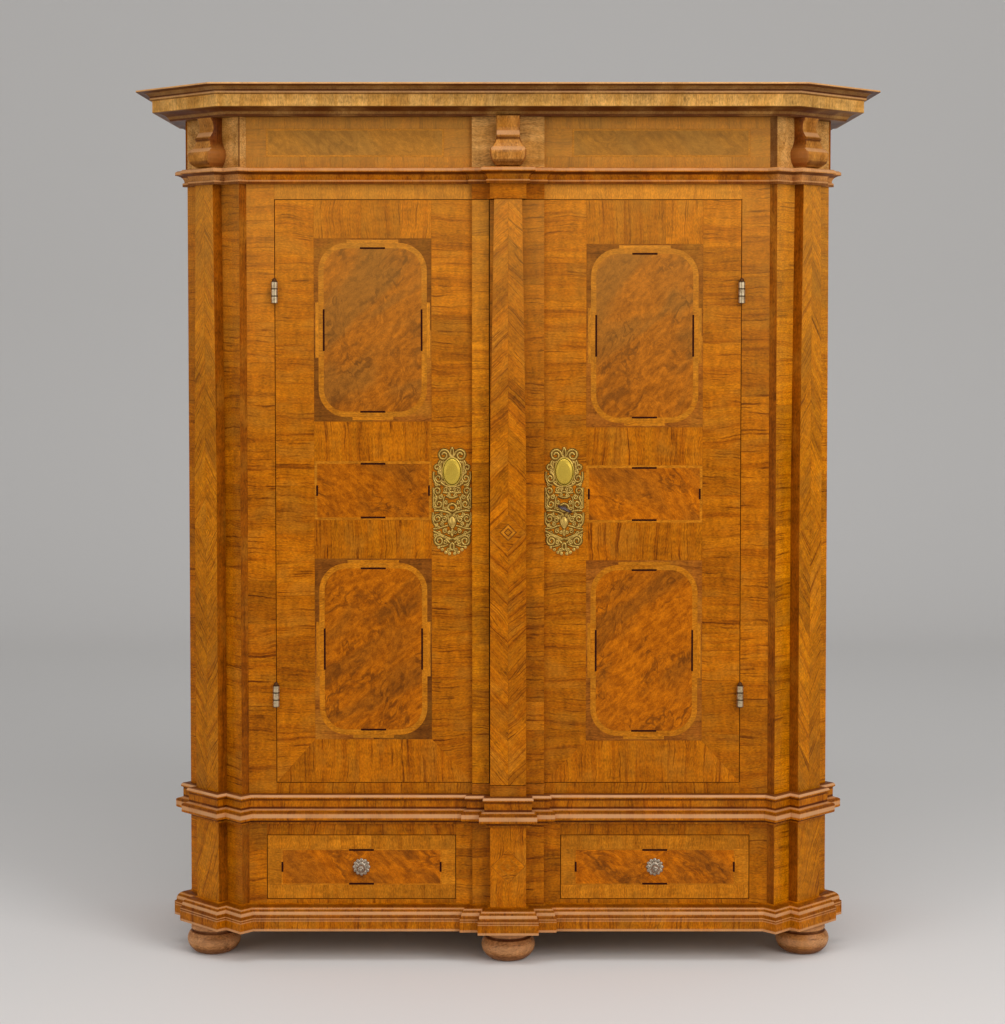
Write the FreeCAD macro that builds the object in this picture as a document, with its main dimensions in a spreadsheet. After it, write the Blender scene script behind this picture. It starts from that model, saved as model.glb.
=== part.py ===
"""Baroque walnut hall cupboard with two doors, two drawers, canted corners and three pilasters.

Millimetres, +Z up. The origin is the middle of the cupboard on the floor and the front faces -Y.
"""
import FreeCAD
import Part
import Sketcher
import math
import os
from types import SimpleNamespace

# Driving dimensions
SIZES = {
    # Heights of the storeys, from the floor up
    "foot_height": 73.0,
    "plinth_height": 57.0,
    "drawer_zone_height": 183.0,
    "waist_height": 68.0,
    "door_zone_height": 1373.0,
    "architrave_height": 36.0,
    "frieze_height": 113.0,
    "cornice_height": 67.0,
    # Plan of the front
    "opening_width": 1047.0,
    "stile_width": 62.5,
    "pier_width": 189.5,
    "pier_proud": 20.0,
    "pilaster_width": 81.0,
    "pilaster_top_width": 62.0,
    "pilaster_proud": 25.0,
    "pilaster_straight_height": 700.0,
    "centre_plate_width": 162.0,
    "centre_plate_proud": 10.0,
    "body_depth": 520.0,
    # Boards
    "board_thickness": 22.0,
    "frame_thickness": 26.0,
    "back_thickness": 20.0,
    "panel_thickness": 10.0,
    "side_stile_width": 80.0,
    "side_rail_height": 100.0,
    "sub_frame_width": 60.0,
    "sill_height": 24.0,
    "head_height": 34.0,
    # Mouldings
    "plinth_projection": 28.0,
    "waist_projection": 28.0,
    "architrave_projection": 20.0,
    "cornice_projection": 105.0,
    "cornice_seat": 11.0,
    "dust_board_thickness": 18.0,
    "cut_overrun": 5.0,
    # Consoles
    "console_neck_width": 58.0,
    "console_roll_width": 81.0,
    "console_roll_height": 50.0,
    "console_projection": 42.0,
    # Feet
    "foot_diameter": 122.0,
    "corner_foot_inset": 43.0,
    "corner_foot_setback": 81.0,
    "centre_foot_setback": 26.0,
    "rear_foot_setback": 81.0,
    # Drawers
    "centre_stile_width": 236.0,
    "drawer_stile_width": 40.0,
    "drawer_height": 144.0,
    "drawer_rise": 11.0,
    "drawer_gap": 1.5,
    "drawer_front_thickness": 22.0,
    "drawer_side_thickness": 12.0,
    "drawer_bottom_thickness": 9.0,
    "drawer_side_height": 112.0,
    "drawer_back_gap": 48.0,
    "drawer_side_inset": 3.0,
    "drawer_lift": 2.0,
    "partition_thickness": 20.0,
    "runner_width": 45.0,
    "guide_width": 14.0,
    "guide_height": 22.0,
    "slide_clearance": 0.3,
    # Drawer knobs
    "rosette_diameter": 40.0,
    "rosette_thickness": 3.0,
    "rosette_lobe_diameter": 9.0,
    "knob_diameter": 21.0,
    "knob_projection": 30.0,
    # Shelves
    "shelf_thickness": 20.0,
    "shelf_pitch": 345.0,
    "shelf_setback": 60.0,
    "shelf_clearance": 1.0,
    "batten_width": 22.0,
    "batten_height": 26.0,
    # Doors
    "door_gap": 1.5,
    "door_thickness": 25.5,
    "meeting_offset": 42.0,
    "meeting_gap": 2.0,
    "stop_depth": 14.0,
    "stop_height": 28.0,
    "stop_lap": 6.0,
    "stop_length": 350.0,
    # Hinges
    "knuckle_diameter": 15.0,
    "knuckle_height": 16.0,
    "knuckle_gap": 0.3,
    "hinge_standoff": 8.0,
    "hinge_pin_diameter": 6.0,
    "pin_clearance": 0.05,
    "pin_head_diameter": 11.0,
    "pin_tip_diameter": 4.0,
    "pin_head_height": 8.0,
    "tang_thickness": 5.0,
    "tang_depth": 20.0,
    "lower_hinge_rise": 198.0,
    "upper_hinge_drop": 208.0,
    # Brass plates on the doors
    "plate_width": 90.0,
    "plate_height": 241.0,
    "plate_thickness": 2.0,
    "plate_offset": 126.0,
    "plate_rise": 661.0,
    "boss_width": 41.0,
    "boss_height": 62.0,
    "boss_rise": 67.0,
    "boss_proud": 5.0,
    "keyhole_diameter": 14.0,
    # Lock and key
    "lock_height": 100.0,
    "lock_depth": 25.0,
    "lock_wall": 2.0,
    "lock_inset": 5.0,
    "lock_overlap": 45.0,
    "key_drop": 12.0,
    "key_diameter": 8.0,
    "key_reach": 40.0,
    "key_bow_diameter": 30.0,
    "key_bow_wire": 5.0,
    "key_bit_length": 15.0,
    "key_bit_depth": 12.0,
    "key_bit_thickness": 3.0,
    "lock_bolt_height": 14.0,
    "lock_bolt_depth": 10.0,
    "lock_bolt_length": 95.0,
    "lock_bolt_rise": 22.0,
    "keeper_width": 14.0,
    "keeper_wall": 4.0,
    # Shoot bolts on the left door
    "shoot_bolt_width": 12.0,
    "shoot_bolt_depth": 8.0,
    "shoot_bolt_length": 210.0,
    "shoot_bolt_inset": 22.0,
    "shoot_bolt_setback": 6.0,
    "bolt_guide_height": 16.0,
    "bolt_guide_wall": 3.0,
    "bolt_knob_diameter": 12.0,
    "bolt_knob_length": 14.0,
}

# Counts and shapes without a length
DIAGONAL_SHARE = math.sqrt(0.5)
HALF_TURN = 180
KEY_BOW_TURN = 25
ROSETTE_LOBES = 12
PIN_HEAD_BULGE = 0.2
SHELVES = 3
BACK_BOARDS = 4

# Profiles: share of the projection, share of the height and, for an arc, its bulge
PLINTH_SHARES = [(0, 0), (1, 0), (1, 0.55), (0.88, 0.6), (0.3, 0.96, 0.42), (0, 1)]
WAIST_SHARES = [
    (0, 0), (0.3, 0), (0.3, 0.1), (0.7, 0.14), (0.7, 0.48, 0.75), (0.45, 0.52), (0.45, 0.83),
    (0.58, 0.87), (0.35, 1, 0.5), (0, 1),
]
ARCHITRAVE_SHARES = [
    (0, 0), (0.4, 0), (0.4, 0.22), (0.25, 0.26), (0.85, 0.7, -0.35), (1, 0.72), (1, 0.92), (0.8, 1), (0, 1),
]
CORNICE_SHARES = [
    (0, 0), (0.3, 0), (0.62, 0.26, -0.3), (0.667, 0.27), (0.667, 0.66), (0.71, 0.68), (0.71, 0.77, 0.4),
    (0.95, 0.94, -0.3), (1, 0.94), (1, 1), (0, 1),
]
# Turned shapes: share of the radius, share of the height and bulge
FOOT_SHARES = [
    (0, 0), (0.62, 0), (1, 0.42, 0.3), (0.88, 0.66, 0.2), (0.8, 0.68), (0.8, 0.73), (0.86, 0.76),
    (0.72, 1, 0.25), (0, 1),
]
KNOB_SHARES = [(0, 0), (0.55, 0), (0.4, 0.35, -0.2), (0.75, 0.5), (1, 0.75, 0.3), (0, 1, 0.45)]
# Console seen from the side: share of the projection, share of the height and bulge
NECK_SHARES = [(0, 0), (0.55, 0), (0.5, 0.35, -0.1), (0.9, 0.9, -0.25), (0.9, 1), (0, 1)]
ROLL_SHARES = [(0, 0), (0.55, 0), (0.55, 1, 0.9), (0, 1)]
# Right half of a brass plate, upwards: share of the width, share of the height and bulge
PLATE_SHARES = [
    (0, -0.5), (0.19, -0.475, 0.25), (0.31, -0.44, 0.3), (0.46, -0.385, 0.3), (0.4, -0.325, 0.5),
    (0.495, -0.263), (0.495, 0.325), (0.38, 0.335), (0.36, 0.42), (0.3, 0.475, 0.35), (0.06, 0.475, 0.15),
    (0, 0.5),
]
# Pierced holes of a plate: share of the width, share of the height, radius as share of the width
PIERCING_SHARES = [
    (0.25, 0.36, 0.06), (0.34, 0.17, 0.06), (0.3, 0.03, 0.09), (0.18, -0.1, 0.06), (0.33, -0.14, 0.07),
    (0.3, -0.28, 0.08), (0.12, -0.22, 0.05), (0.15, -0.37, 0.07),
]


class Size:
    """A length that keeps its number together with the sheet formula that gives it."""

    def __init__(self, number, formula):
        self.number = number
        self.formula = formula

    def __add__(self, other):
        other = as_size(other)
        return Size(self.number + other.number, f"({self.formula} + {other.formula})")

    def __sub__(self, other):
        other = as_size(other)
        return Size(self.number - other.number, f"({self.formula} - {other.formula})")

    def __rsub__(self, other):
        return as_size(other) - self

    def __mul__(self, share):
        return Size(self.number * share, f"({self.formula} * {share})")

    def __truediv__(self, parts):
        return Size(self.number / parts, f"({self.formula} / {parts})")

    def __neg__(self):
        return Size(-self.number, f"(-1 * {self.formula})")

    __radd__ = __add__
    __rmul__ = __mul__


def as_size(term):
    """A plain number stands for itself in a formula."""
    return term if isinstance(term, Size) else Size(term, str(term))


def slant(run, rise):
    """Length of a slanting line."""
    return Size(math.hypot(run.number, rise.number), f"sqrt({run.formula}^2 + {rise.formula}^2)")


def fill_sheet(sheet):
    """Writes the driving dimensions and returns them as sizes."""
    for row, (name, length) in enumerate(SIZES.items(), start=1):
        sheet.set(f"A{row}", name)
        sheet.set(f"B{row}", str(length))
        sheet.setAlias(f"B{row}", name)
    sheet.Document.recompute()
    return SimpleNamespace(**{name: Size(sheet.get(name), f"Sizes.{name}") for name in SIZES})


doc = FreeCAD.newDocument("HallCupboard")
S = fill_sheet(doc.addObject("Spreadsheet::Sheet", "Sizes"))
nodes = []

# Levels of the storeys
plinth_z = S.foot_height
drawer_zone_z = plinth_z + S.plinth_height
waist_z = drawer_zone_z + S.drawer_zone_height
door_zone_z = waist_z + S.waist_height
architrave_z = door_zone_z + S.door_zone_height
frieze_z = architrave_z + S.architrave_height
cornice_z = frieze_z + S.frieze_height
base_floor_top = plinth_z + S.board_thickness
base_case_z = (base_floor_top, waist_z)
case_z = (door_zone_z, frieze_z - S.board_thickness)
sill_top = door_zone_z + S.sill_height
head_bottom = architrave_z - S.head_height
door_z = (sill_top + S.door_gap, head_bottom - S.door_gap)
drawer_z = drawer_zone_z + S.drawer_rise
plate_z = door_zone_z + S.plate_rise

# Planes and corners of the plan
front_y = (S.cornice_projection - S.body_depth) / 2
back_y = front_y + S.body_depth
frame_back = front_y + S.frame_thickness
leaf_back = front_y + S.door_thickness
half_opening = S.opening_width / 2
half_front = half_opening + S.stile_width
cant_run = S.pier_width * DIAGONAL_SHARE
side_x = half_front + cant_run
inner_x = side_x - S.board_thickness
pier_step = S.pier_proud * DIAGONAL_SHARE
back_inner_y = back_y - S.back_thickness
half_plate = S.centre_plate_width / 2
half_pilaster = S.pilaster_width / 2
drawer_near = S.centre_stile_width / 2 + S.drawer_gap
drawer_far = half_front - S.drawer_stile_width - S.drawer_gap
drawer_centre = (drawer_near + drawer_far) / 2
half_drawer = (drawer_far - drawer_near) / 2


def tie(item, prop, size):
    """Ties one property of an item to the sheet."""
    item.setExpression(prop, as_size(size).formula)


def place(item, x, y, z, turn=0):
    """Stands an item at a place, turned about the vertical."""
    item.Placement = FreeCAD.Placement(FreeCAD.Vector(), FreeCAD.Rotation(FreeCAD.Vector(0, 0, 1), turn))
    for axis, size in zip("xyz", (x, y, z)):
        tie(item, f"Placement.Base.{axis}", size)
    return item


def node(label, *members):
    """Names one piece, or a group of separate pieces, that gets its own file."""
    item = members[0]
    if len(members) > 1:
        item = doc.addObject("Part::Compound", label)
        item.Links = list(members)
    item.Label = label
    nodes.append(item)
    return item


def span(side, near, far):
    """Low and high X of something that lies between two distances from the middle, left or right."""
    return (near, far) if side > 0 else (-far, -near)


def hand(side):
    """Word for the left or the right of the cupboard."""
    return "right" if side > 0 else "left"


def block(name, x, y, z):
    """Board or bar between low and high planes along each axis."""
    box = doc.addObject("Part::Box", f"{name}_block")
    for prop, (low, high) in zip(("Length", "Width", "Height"), (x, y, z)):
        tie(box, prop, high - low)
    return place(box, x[0], y[0], z[0])


def rod(name, diameter, length, x, y, z, axis):
    """Round bar that starts at a place and runs along an axis."""
    bar = doc.addObject("Part::Cylinder", f"{name}_rod")
    tie(bar, "Radius", diameter / 2)
    tie(bar, "Height", length)
    place(bar, x, y, z)
    bar.Placement.Rotation = FreeCAD.Rotation(FreeCAD.Vector(0, 0, 1), FreeCAD.Vector(*axis))
    return bar


def joined(name, *pieces):
    """Several shapes made into one piece."""
    fuse = doc.addObject("Part::MultiFuse", f"{name}_joined")
    fuse.Shapes = list(pieces)
    return fuse


def cut(name, base, *tools):
    """A piece with other shapes taken out of it."""
    for number, tool in enumerate(tools, start=1):
        piece = doc.addObject("Part::Cut", f"{name}_cut_{number}")
        piece.Base = base
        piece.Tool = tool
        base = piece
    return base


def bulge_of(corner):
    """Bulge of the arc that ends at a corner, or 0 for a straight line."""
    return corner[2] if len(corner) > 2 else 0


def flat(corner):
    """A corner as a point of its own plane."""
    return FreeCAD.Vector(as_size(corner[0]).number, as_size(corner[1]).number, 0)


def arc_between(start, end):
    """Circle arc from start to end that swells to the right of the way by its bulge."""
    first = flat(start)
    last = flat(end)
    bulge = bulge_of(end)
    chord = last - first
    right = FreeCAD.Vector(chord.y, -chord.x, 0)
    middle = (first + last) * 0.5 + right * (0.5 * bulge)
    return Part.Arc(first, middle, last)


def add_arc(sketch, start, end):
    """Adds an arc to a sketch and returns its number and the positions of its two ends."""
    curve = arc_between(start, end).toShape().Curve
    forward = bulge_of(end) > 0
    ends = (flat(start), flat(end)) if forward else (flat(end), flat(start))
    angles = [math.atan2(point.y - curve.Center.y, point.x - curve.Center.x) for point in ends]
    circle = Part.Circle(curve.Center, FreeCAD.Vector(0, 0, 1), curve.Radius)
    number = sketch.addGeometry(Part.ArcOfCircle(circle, *angles))
    return (number, 1, 2) if forward else (number, 2, 1)


def tie_point(sketch, number, position, corner):
    """Holds one end of a sketch line at a corner given in sizes."""
    for kind, axis, size in (("DistanceX", -2, corner[0]), ("DistanceY", -1, corner[1])):
        if isinstance(size, Size):
            index = sketch.addConstraint(Sketcher.Constraint(kind, -1, 1, number, position, size.number))
            sketch.setExpression(f"Constraints[{index}]", size.formula)
        else:
            sketch.addConstraint(Sketcher.Constraint("PointOnObject", number, position, axis))


def sketch_in(body, role):
    """Empty sketch on one of a body's own origin planes."""
    sketch = body.newObject("Sketcher::SketchObject", f"{body.Name}_sketch")
    plane = next(feature for feature in body.Origin.OriginFeatures if feature.Role == role)
    sketch.AttachmentSupport = [(plane, "")]
    sketch.MapMode = "FlatFace"
    return sketch


def draw_outline(sketch, corners):
    """Closed outline of lines and arcs with every corner and radius tied to the sheet."""
    strokes = []
    for start, end in zip(corners, corners[1:] + corners[:1]):
        if bulge_of(end):
            strokes.append(add_arc(sketch, start, end))
        else:
            strokes.append((sketch.addGeometry(Part.LineSegment(flat(start), flat(end))), 1, 2))
    for stroke, following in zip(strokes, strokes[1:] + strokes[:1]):
        ends = (stroke[0], stroke[2], following[0], following[1])
        sketch.addConstraint(Sketcher.Constraint("Coincident", *ends))
    for stroke, corner, end in zip(strokes, corners, corners[1:] + corners[:1]):
        tie_point(sketch, stroke[0], stroke[1], corner)
        bulge = bulge_of(end)
        if bulge:
            chord = slant(end[0] - as_size(corner[0]), end[1] - as_size(corner[1]))
            radius = chord * ((1 + bulge * bulge) / (4 * abs(bulge)))
            index = sketch.addConstraint(Sketcher.Constraint("Radius", stroke[0], radius.number))
            sketch.setExpression(f"Constraints[{index}]", radius.formula)


def new_body(name):
    """Body for a piece that is drawn and then padded or turned."""
    return doc.addObject("PartDesign::Body", f"{name}_body")


def pad(body, role, corners, depth, symmetric=False):
    """Pads an outline from one of the body's planes."""
    sketch = sketch_in(body, role)
    draw_outline(sketch, corners)
    feature = body.newObject("PartDesign::Pad", f"{body.Name}_pad")
    feature.Profile = sketch
    tie(feature, "Length", depth)
    if symmetric:
        feature.SideType = "Symmetric"
    return feature


def plate_of(name, role, corners, depth, symmetric=False):
    """Body with a single pad."""
    body = new_body(name)
    pad(body, role, corners, depth, symmetric)
    return body


def turn_profile(body, role, corners):
    """Turns an outline about the upright axis of its sketch."""
    sketch = sketch_in(body, role)
    draw_outline(sketch, corners)
    feature = body.newObject("PartDesign::Revolution", f"{body.Name}_turn")
    feature.Profile = sketch
    feature.ReferenceAxis = (sketch, ["V_Axis"])
    return feature


def scaled(shares, across, up):
    """Outline from shares of two lengths; a share of 0 stays on the axis."""
    corners = []
    for share in shares:
        first = across * share[0] if share[0] else 0
        second = up * share[1] if share[1] else 0
        corners.append((first, second) + tuple(share[2:]))
    return corners


def front_line():
    """Line of the front in plan, from the left back corner to the right one, with every break."""
    strip = (S.pier_width - S.pilaster_width) / 2 * DIAGONAL_SHARE
    width = S.pilaster_width * DIAGONAL_SHARE
    rise = S.pilaster_proud * DIAGONAL_SHARE
    plate_y = front_y - S.centre_plate_proud
    face_y = plate_y - S.pilaster_proud
    foot_x = half_front + pier_step + strip
    foot_y = front_y - pier_step + strip
    right = [
        (half_pilaster, face_y),
        (half_pilaster, plate_y),
        (half_plate, plate_y),
        (half_plate, front_y),
        (half_front, front_y),
        (half_front + pier_step, front_y - pier_step),
        (foot_x, foot_y),
        (foot_x + rise, foot_y - rise),
        (foot_x + rise + width, foot_y - rise + width),
        (foot_x + width, foot_y + width),
        (side_x + pier_step, front_y + cant_run - pier_step),
        (side_x, front_y + cant_run),
        (side_x, back_y),
    ]
    left = [(-x, y) for x, y in reversed(right)]
    return left, (0, face_y), right


def cornice_line():
    """Line of the cornice in plan, which runs past the breaks and only turns at the cants."""
    side = side_x + S.pier_proud
    corner = half_front + pier_step * 2
    right = [(corner, front_y), (side, front_y + side - corner), (side, back_y)]
    left = [(-x, y) for x, y in reversed(right)]
    return left + [(0, front_y)] + right


def mitre_point(before, after, point, offset):
    """Place at a corner of the line where lengths from both sides meet at an offset outwards."""
    outward = before + after
    return point + outward * (offset / (1 + before.dot(after)))


def mitred_length(profile, ends, normals):
    """One straight length of moulding, cut to the mitres it shares with its neighbours."""
    start, end = ends
    before, own, after = normals
    along = (end - start).normalize()
    offsets = [flat(corner).x for corner in profile]
    heights = [flat(corner).y for corner in profile]
    overrun = S.cut_overrun.number
    reach = max(offsets) + overrun
    inner = min(offsets) - overrun
    turned = FreeCAD.Matrix(
        own.x, 0, along.x, start.x, own.y, 0, along.y, start.y, own.z, 1, along.z, 0, 0, 0, 0, 1
    )
    strokes = []
    for first, last in zip(profile, profile[1:] + profile[:1]):
        stroke = arc_between(first, last) if bulge_of(last) else Part.LineSegment(flat(first), flat(last))
        strokes.append(stroke.toShape())
    face = Part.Face(Part.Wire(strokes)).transformGeometry(turned)
    face.translate(along * -reach)
    bar = face.extrude(along * (end.sub(start).Length + 2 * reach))
    corners = [
        mitre_point(before, own, start, inner),
        mitre_point(own, after, end, inner),
        mitre_point(own, after, end, reach),
        mitre_point(before, own, start, reach),
    ]
    plan = Part.Face(Part.makePolygon(corners + corners[:1]))
    plan.translate(FreeCAD.Vector(0, 0, min(heights) - overrun))
    prism = plan.extrude(FreeCAD.Vector(0, 0, max(heights) - min(heights) + 2 * overrun))
    return bar.common(prism).Solids[0]


def mitred_moulding(label, line, shares, projection, base, height, seat=None):
    """Moulding of separate straight lengths that follow a line in plan and meet at mitres."""
    profile = []
    for corner in scaled(shares, projection, height):
        point = flat(corner)
        profile.append((point.x, point.y + base.number) + tuple(corner[2:]))
    if seat:
        profile[0] = (-seat.number, profile[0][1])
        profile[-1] = (-seat.number, profile[-1][1])
    points = [flat(corner) for corner in line]
    normals = []
    for start, end in zip(points, points[1:]):
        along = (end - start).normalize()
        normals.append(FreeCAD.Vector(along.y, -along.x, 0))
    lengths = []
    for number, own in enumerate(normals):
        before = normals[max(number - 1, 0)]
        after = normals[min(number + 1, len(normals) - 1)]
        lengths.append(mitred_length(profile, points[number:number + 2], (before, own, after)))
    moulding = doc.addObject("Part::Feature", label)
    moulding.Shape = Part.makeCompound(lengths)
    node(label, moulding)


def plan_board(label, z, thickness):
    """Board cut to the whole line of the front, so that the moulding on its edge is backed all along."""
    left, middle, right = front_line()
    body = plate_of(label, "XY_Plane", left + right, thickness)
    node(label, place(body, 0, 0, z))


def pier_outline(side):
    """Canted corner pier in plan: it stands proud of the stile and of the side."""
    corners = [
        (half_front, front_y),
        (half_front + pier_step, front_y - pier_step),
        (side_x + pier_step, front_y + cant_run - pier_step),
        (side_x, front_y + cant_run),
        (inner_x, front_y + cant_run),
        (half_front, front_y + S.board_thickness),
    ]
    return corners if side > 0 else [(-x, y) for x, y in corners]


def corner_pier(name, side, z):
    """Canted pier between two levels."""
    body = plate_of(name, "XY_Plane", pier_outline(side), z[1] - z[0])
    return place(body, 0, 0, z[0])


def on_cant(item, side, z):
    """Stands an item that faces the front on the middle of a canted pier instead."""
    x = half_front + pier_step + cant_run / 2
    y = front_y - pier_step + cant_run / 2
    return place(item, x if side > 0 else -x, y, z, side * HALF_TURN / 4)


def pilaster(name, height, top_width):
    """Raised pilaster: straight below, then narrowing to the top."""
    half_top = top_width / 2
    shoulder = S.pilaster_straight_height
    corners = [
        (-half_pilaster, 0), (half_pilaster, 0), (half_pilaster, shoulder),
        (half_top, height), (-half_top, height), (-half_pilaster, shoulder),
    ]
    return plate_of(name, "XZ_Plane", corners, S.pilaster_proud)


def make_feet():
    """Turned bun feet: three in front, two behind."""
    def foot(name, x, y):
        body = new_body(name)
        turn_profile(body, "XZ_Plane", scaled(FOOT_SHARES, S.foot_diameter / 2, S.foot_height))
        return place(body, x, y, 0)

    corner_x = side_x - S.corner_foot_inset
    front = front_y + S.corner_foot_setback
    rear = back_y - S.rear_foot_setback
    node(
        "front_feet",
        foot("front_left_foot", -corner_x, front),
        foot("front_centre_foot", 0, front_y + S.centre_foot_setback),
        foot("front_right_foot", corner_x, front),
    )
    node("rear_feet", foot("rear_left_foot", -corner_x, rear), foot("rear_right_foot", corner_x, rear))


def make_drawer_case():
    """Lower case that holds the two drawers."""
    plan_board("base_floor_board", plinth_z, S.board_thickness)
    plan_board("base_top_board", waist_z, S.board_thickness)
    walls = [block("base_back", (-inner_x, inner_x), (back_inner_y, back_y), base_case_z)]
    piers = []
    pilasters = []
    block_height = waist_z - base_floor_top
    for side in (-1, 1):
        name = f"base_{hand(side)}"
        side_wall = span(side, inner_x, side_x)
        walls.append(block(f"{name}_side", side_wall, (front_y + cant_run, back_y), base_case_z))
        piers.append(corner_pier(f"{name}_pier", side, base_case_z))
        raised = plate_of(f"{name}_pilaster", "XZ_Plane", raised_face(block_height), S.pilaster_proud)
        pilasters.append(on_cant(raised, side, base_floor_top))
    plate_y = front_y - S.centre_plate_proud
    piers.append(block("base_centre_plate", (-half_plate, half_plate), (plate_y, front_y), base_case_z))
    raised = plate_of("base_centre_pilaster", "XZ_Plane", raised_face(block_height), S.pilaster_proud)
    pilasters.append(place(raised, 0, plate_y, base_floor_top))
    node("base_walls", *walls)
    node("base_piers", *piers)
    node("base_pilasters", *pilasters)


def raised_face(height):
    """Outline of a plain pilaster block."""
    return [(-half_pilaster, 0), (half_pilaster, 0), (half_pilaster, height), (-half_pilaster, height)]


def make_drawer_frame():
    """Rails and stiles round the drawers, the partition between them and what they run on."""
    depth = (front_y, frame_back)
    low = drawer_z - S.drawer_gap
    high = drawer_z + S.drawer_height + S.drawer_gap
    half_stile = S.centre_stile_width / 2
    frame = [
        block("bottom_rail", (-half_front, half_front), depth, (base_floor_top, low)),
        block("top_rail", (-half_front, half_front), depth, (high, waist_z)),
        block("centre_stile", (-half_stile, half_stile), depth, (low, high)),
    ]
    runner_top = drawer_z + S.drawer_lift - S.slide_clearance
    half_box = half_drawer - S.drawer_side_inset + S.slide_clearance
    run = (frame_back, back_inner_y)
    runners = []
    for side in (-1, 1):
        stile_x = span(side, half_front - S.drawer_stile_width, half_front)
        frame.append(block(f"{hand(side)}_stile", stile_x, depth, (low, high)))
        for name, inward in (("inner", -1), ("outer", 1)):
            guide_near = drawer_centre + inward * half_box
            guide_far = guide_near + inward * S.guide_width
            edge = guide_far - inward * S.runner_width
            runner_x = span(inward, edge * inward, guide_far * inward)
            guide_x = span(inward, guide_near * inward, guide_far * inward)
            title = f"{hand(side)}_{name}"
            runners.append(block(f"{title}_runner", span(side, *runner_x), run, (base_floor_top, runner_top)))
            runners.append(
                block(f"{title}_guide", span(side, *guide_x), run, (runner_top, runner_top + S.guide_height))
            )
    half_partition = S.partition_thickness / 2
    node("drawer_frame", *frame)
    node("drawer_runners", *runners)
    node("drawer_partition", block("partition", (-half_partition, half_partition), run, base_case_z))


def make_knob(name):
    """Ball knob on a scalloped rosette, facing the front."""
    body = new_body(name)
    disc = sketch_in(body, "XZ_Plane")
    radius = S.rosette_diameter / 2 - S.rosette_lobe_diameter / 2
    tie_circle(disc, 0, 0, radius)
    feature = body.newObject("PartDesign::Pad", f"{name}_disc")
    feature.Profile = disc
    tie(feature, "Length", S.rosette_thickness)
    lobe = sketch_in(body, "XZ_Plane")
    tie_circle(lobe, 0, radius, S.rosette_lobe_diameter / 2)
    lobe_pad = body.newObject("PartDesign::Pad", f"{name}_lobe")
    lobe_pad.Profile = lobe
    tie(lobe_pad, "Length", S.rosette_thickness)
    ring = body.newObject("PartDesign::PolarPattern", f"{name}_ring")
    ring.Originals = [lobe_pad]
    ring.Axis = (lobe, ["N_Axis"])
    ring.Angle = 360
    ring.Occurrences = ROSETTE_LOBES
    body.Tip = ring
    profile = scaled(KNOB_SHARES, S.knob_diameter / 2, -S.knob_projection)
    mirrored = [(corner[0], corner[1]) + tuple(-bulge for bulge in corner[2:]) for corner in profile]
    body.Tip = turn_profile(body, "XY_Plane", mirrored)
    return body


def tie_circle(sketch, across, up, radius):
    """Circle with its centre and radius tied to the sheet."""
    centre = flat((across, up))
    number = sketch.addGeometry(Part.Circle(centre, FreeCAD.Vector(0, 0, 1), radius.number))
    tie_point(sketch, number, 3, (across, up))
    index = sketch.addConstraint(Sketcher.Constraint("Radius", number, radius.number))
    sketch.setExpression(f"Constraints[{index}]", radius.formula)


def make_drawer(side):
    """Drawer front, box of four boards and knob."""
    name = f"{hand(side)}_drawer"
    front_back = front_y + S.drawer_front_thickness
    front = block(
        f"{name}_face",
        span(side, drawer_near, drawer_far),
        (front_y, front_back),
        (drawer_z, drawer_z + S.drawer_height),
    )
    node(f"{name}_front", front)
    low = drawer_z + S.drawer_lift
    high = low + S.drawer_side_height
    near = drawer_near + S.drawer_side_inset
    far = drawer_far - S.drawer_side_inset
    wall = S.drawer_side_thickness
    end = back_inner_y - S.drawer_back_gap
    inside = span(side, near + wall, far - wall)
    floor_top = low + S.drawer_bottom_thickness
    node(
        f"{name}_box",
        block(f"{name}_near_side", span(side, near, near + wall), (front_back, end), (low, high)),
        block(f"{name}_far_side", span(side, far - wall, far), (front_back, end), (low, high)),
        block(f"{name}_back", inside, (end - wall, end), (low, high)),
        block(f"{name}_bottom", inside, (front_back, end - wall), (low, floor_top)),
    )
    knob = make_knob(f"{name}_pull")
    x = drawer_centre if side > 0 else -drawer_centre
    node(f"{name}_knob", place(knob, x, front_y, drawer_z + S.drawer_height / 2))


def make_door_case():
    """Upper case: floor, frame, piers, sides, back and top."""
    sub_z = (waist_z + S.board_thickness, door_zone_z - S.board_thickness)
    rail = S.sub_frame_width
    node(
        "case_sub_frame",
        block("sub_front", (-half_front, half_front), (front_y, front_y + rail), sub_z),
        block("sub_rear", (-side_x, side_x), (back_y - rail, back_y), sub_z),
        block("sub_left", (-side_x, rail - side_x), (front_y + cant_run, back_y - rail), sub_z),
        block("sub_right", (side_x - rail, side_x), (front_y + cant_run, back_y - rail), sub_z),
    )
    plan_board("case_floor_board", sub_z[1], S.board_thickness)
    plan_board("case_top_board", case_z[1], S.board_thickness)
    depth = (front_y, frame_back)
    between = (-half_opening, half_opening)
    node("sill_rail", block("sill", between, depth, (door_zone_z, sill_top)))
    node("head_rail", block("head", between, depth, (head_bottom, case_z[1])))
    height = case_z[1] - case_z[0]
    for side in (-1, 1):
        word = hand(side)
        node(f"corner_pier_{word}", corner_pier(f"{word}_pier", side, case_z))
        raised = pilaster(f"{word}_pilaster", height, S.pilaster_top_width)
        node(f"corner_pilaster_{word}", on_cant(raised, side, door_zone_z))
        node(f"side_frame_{word}", *framed_side(side))
    width = inner_x * 2 / BACK_BOARDS
    boards = []
    for number in range(BACK_BOARDS):
        left = width * number - inner_x
        boards.append(block(f"back_{number + 1}", (left, left + width), (back_inner_y, back_y), case_z))
    node("back_boards", *boards)


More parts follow.
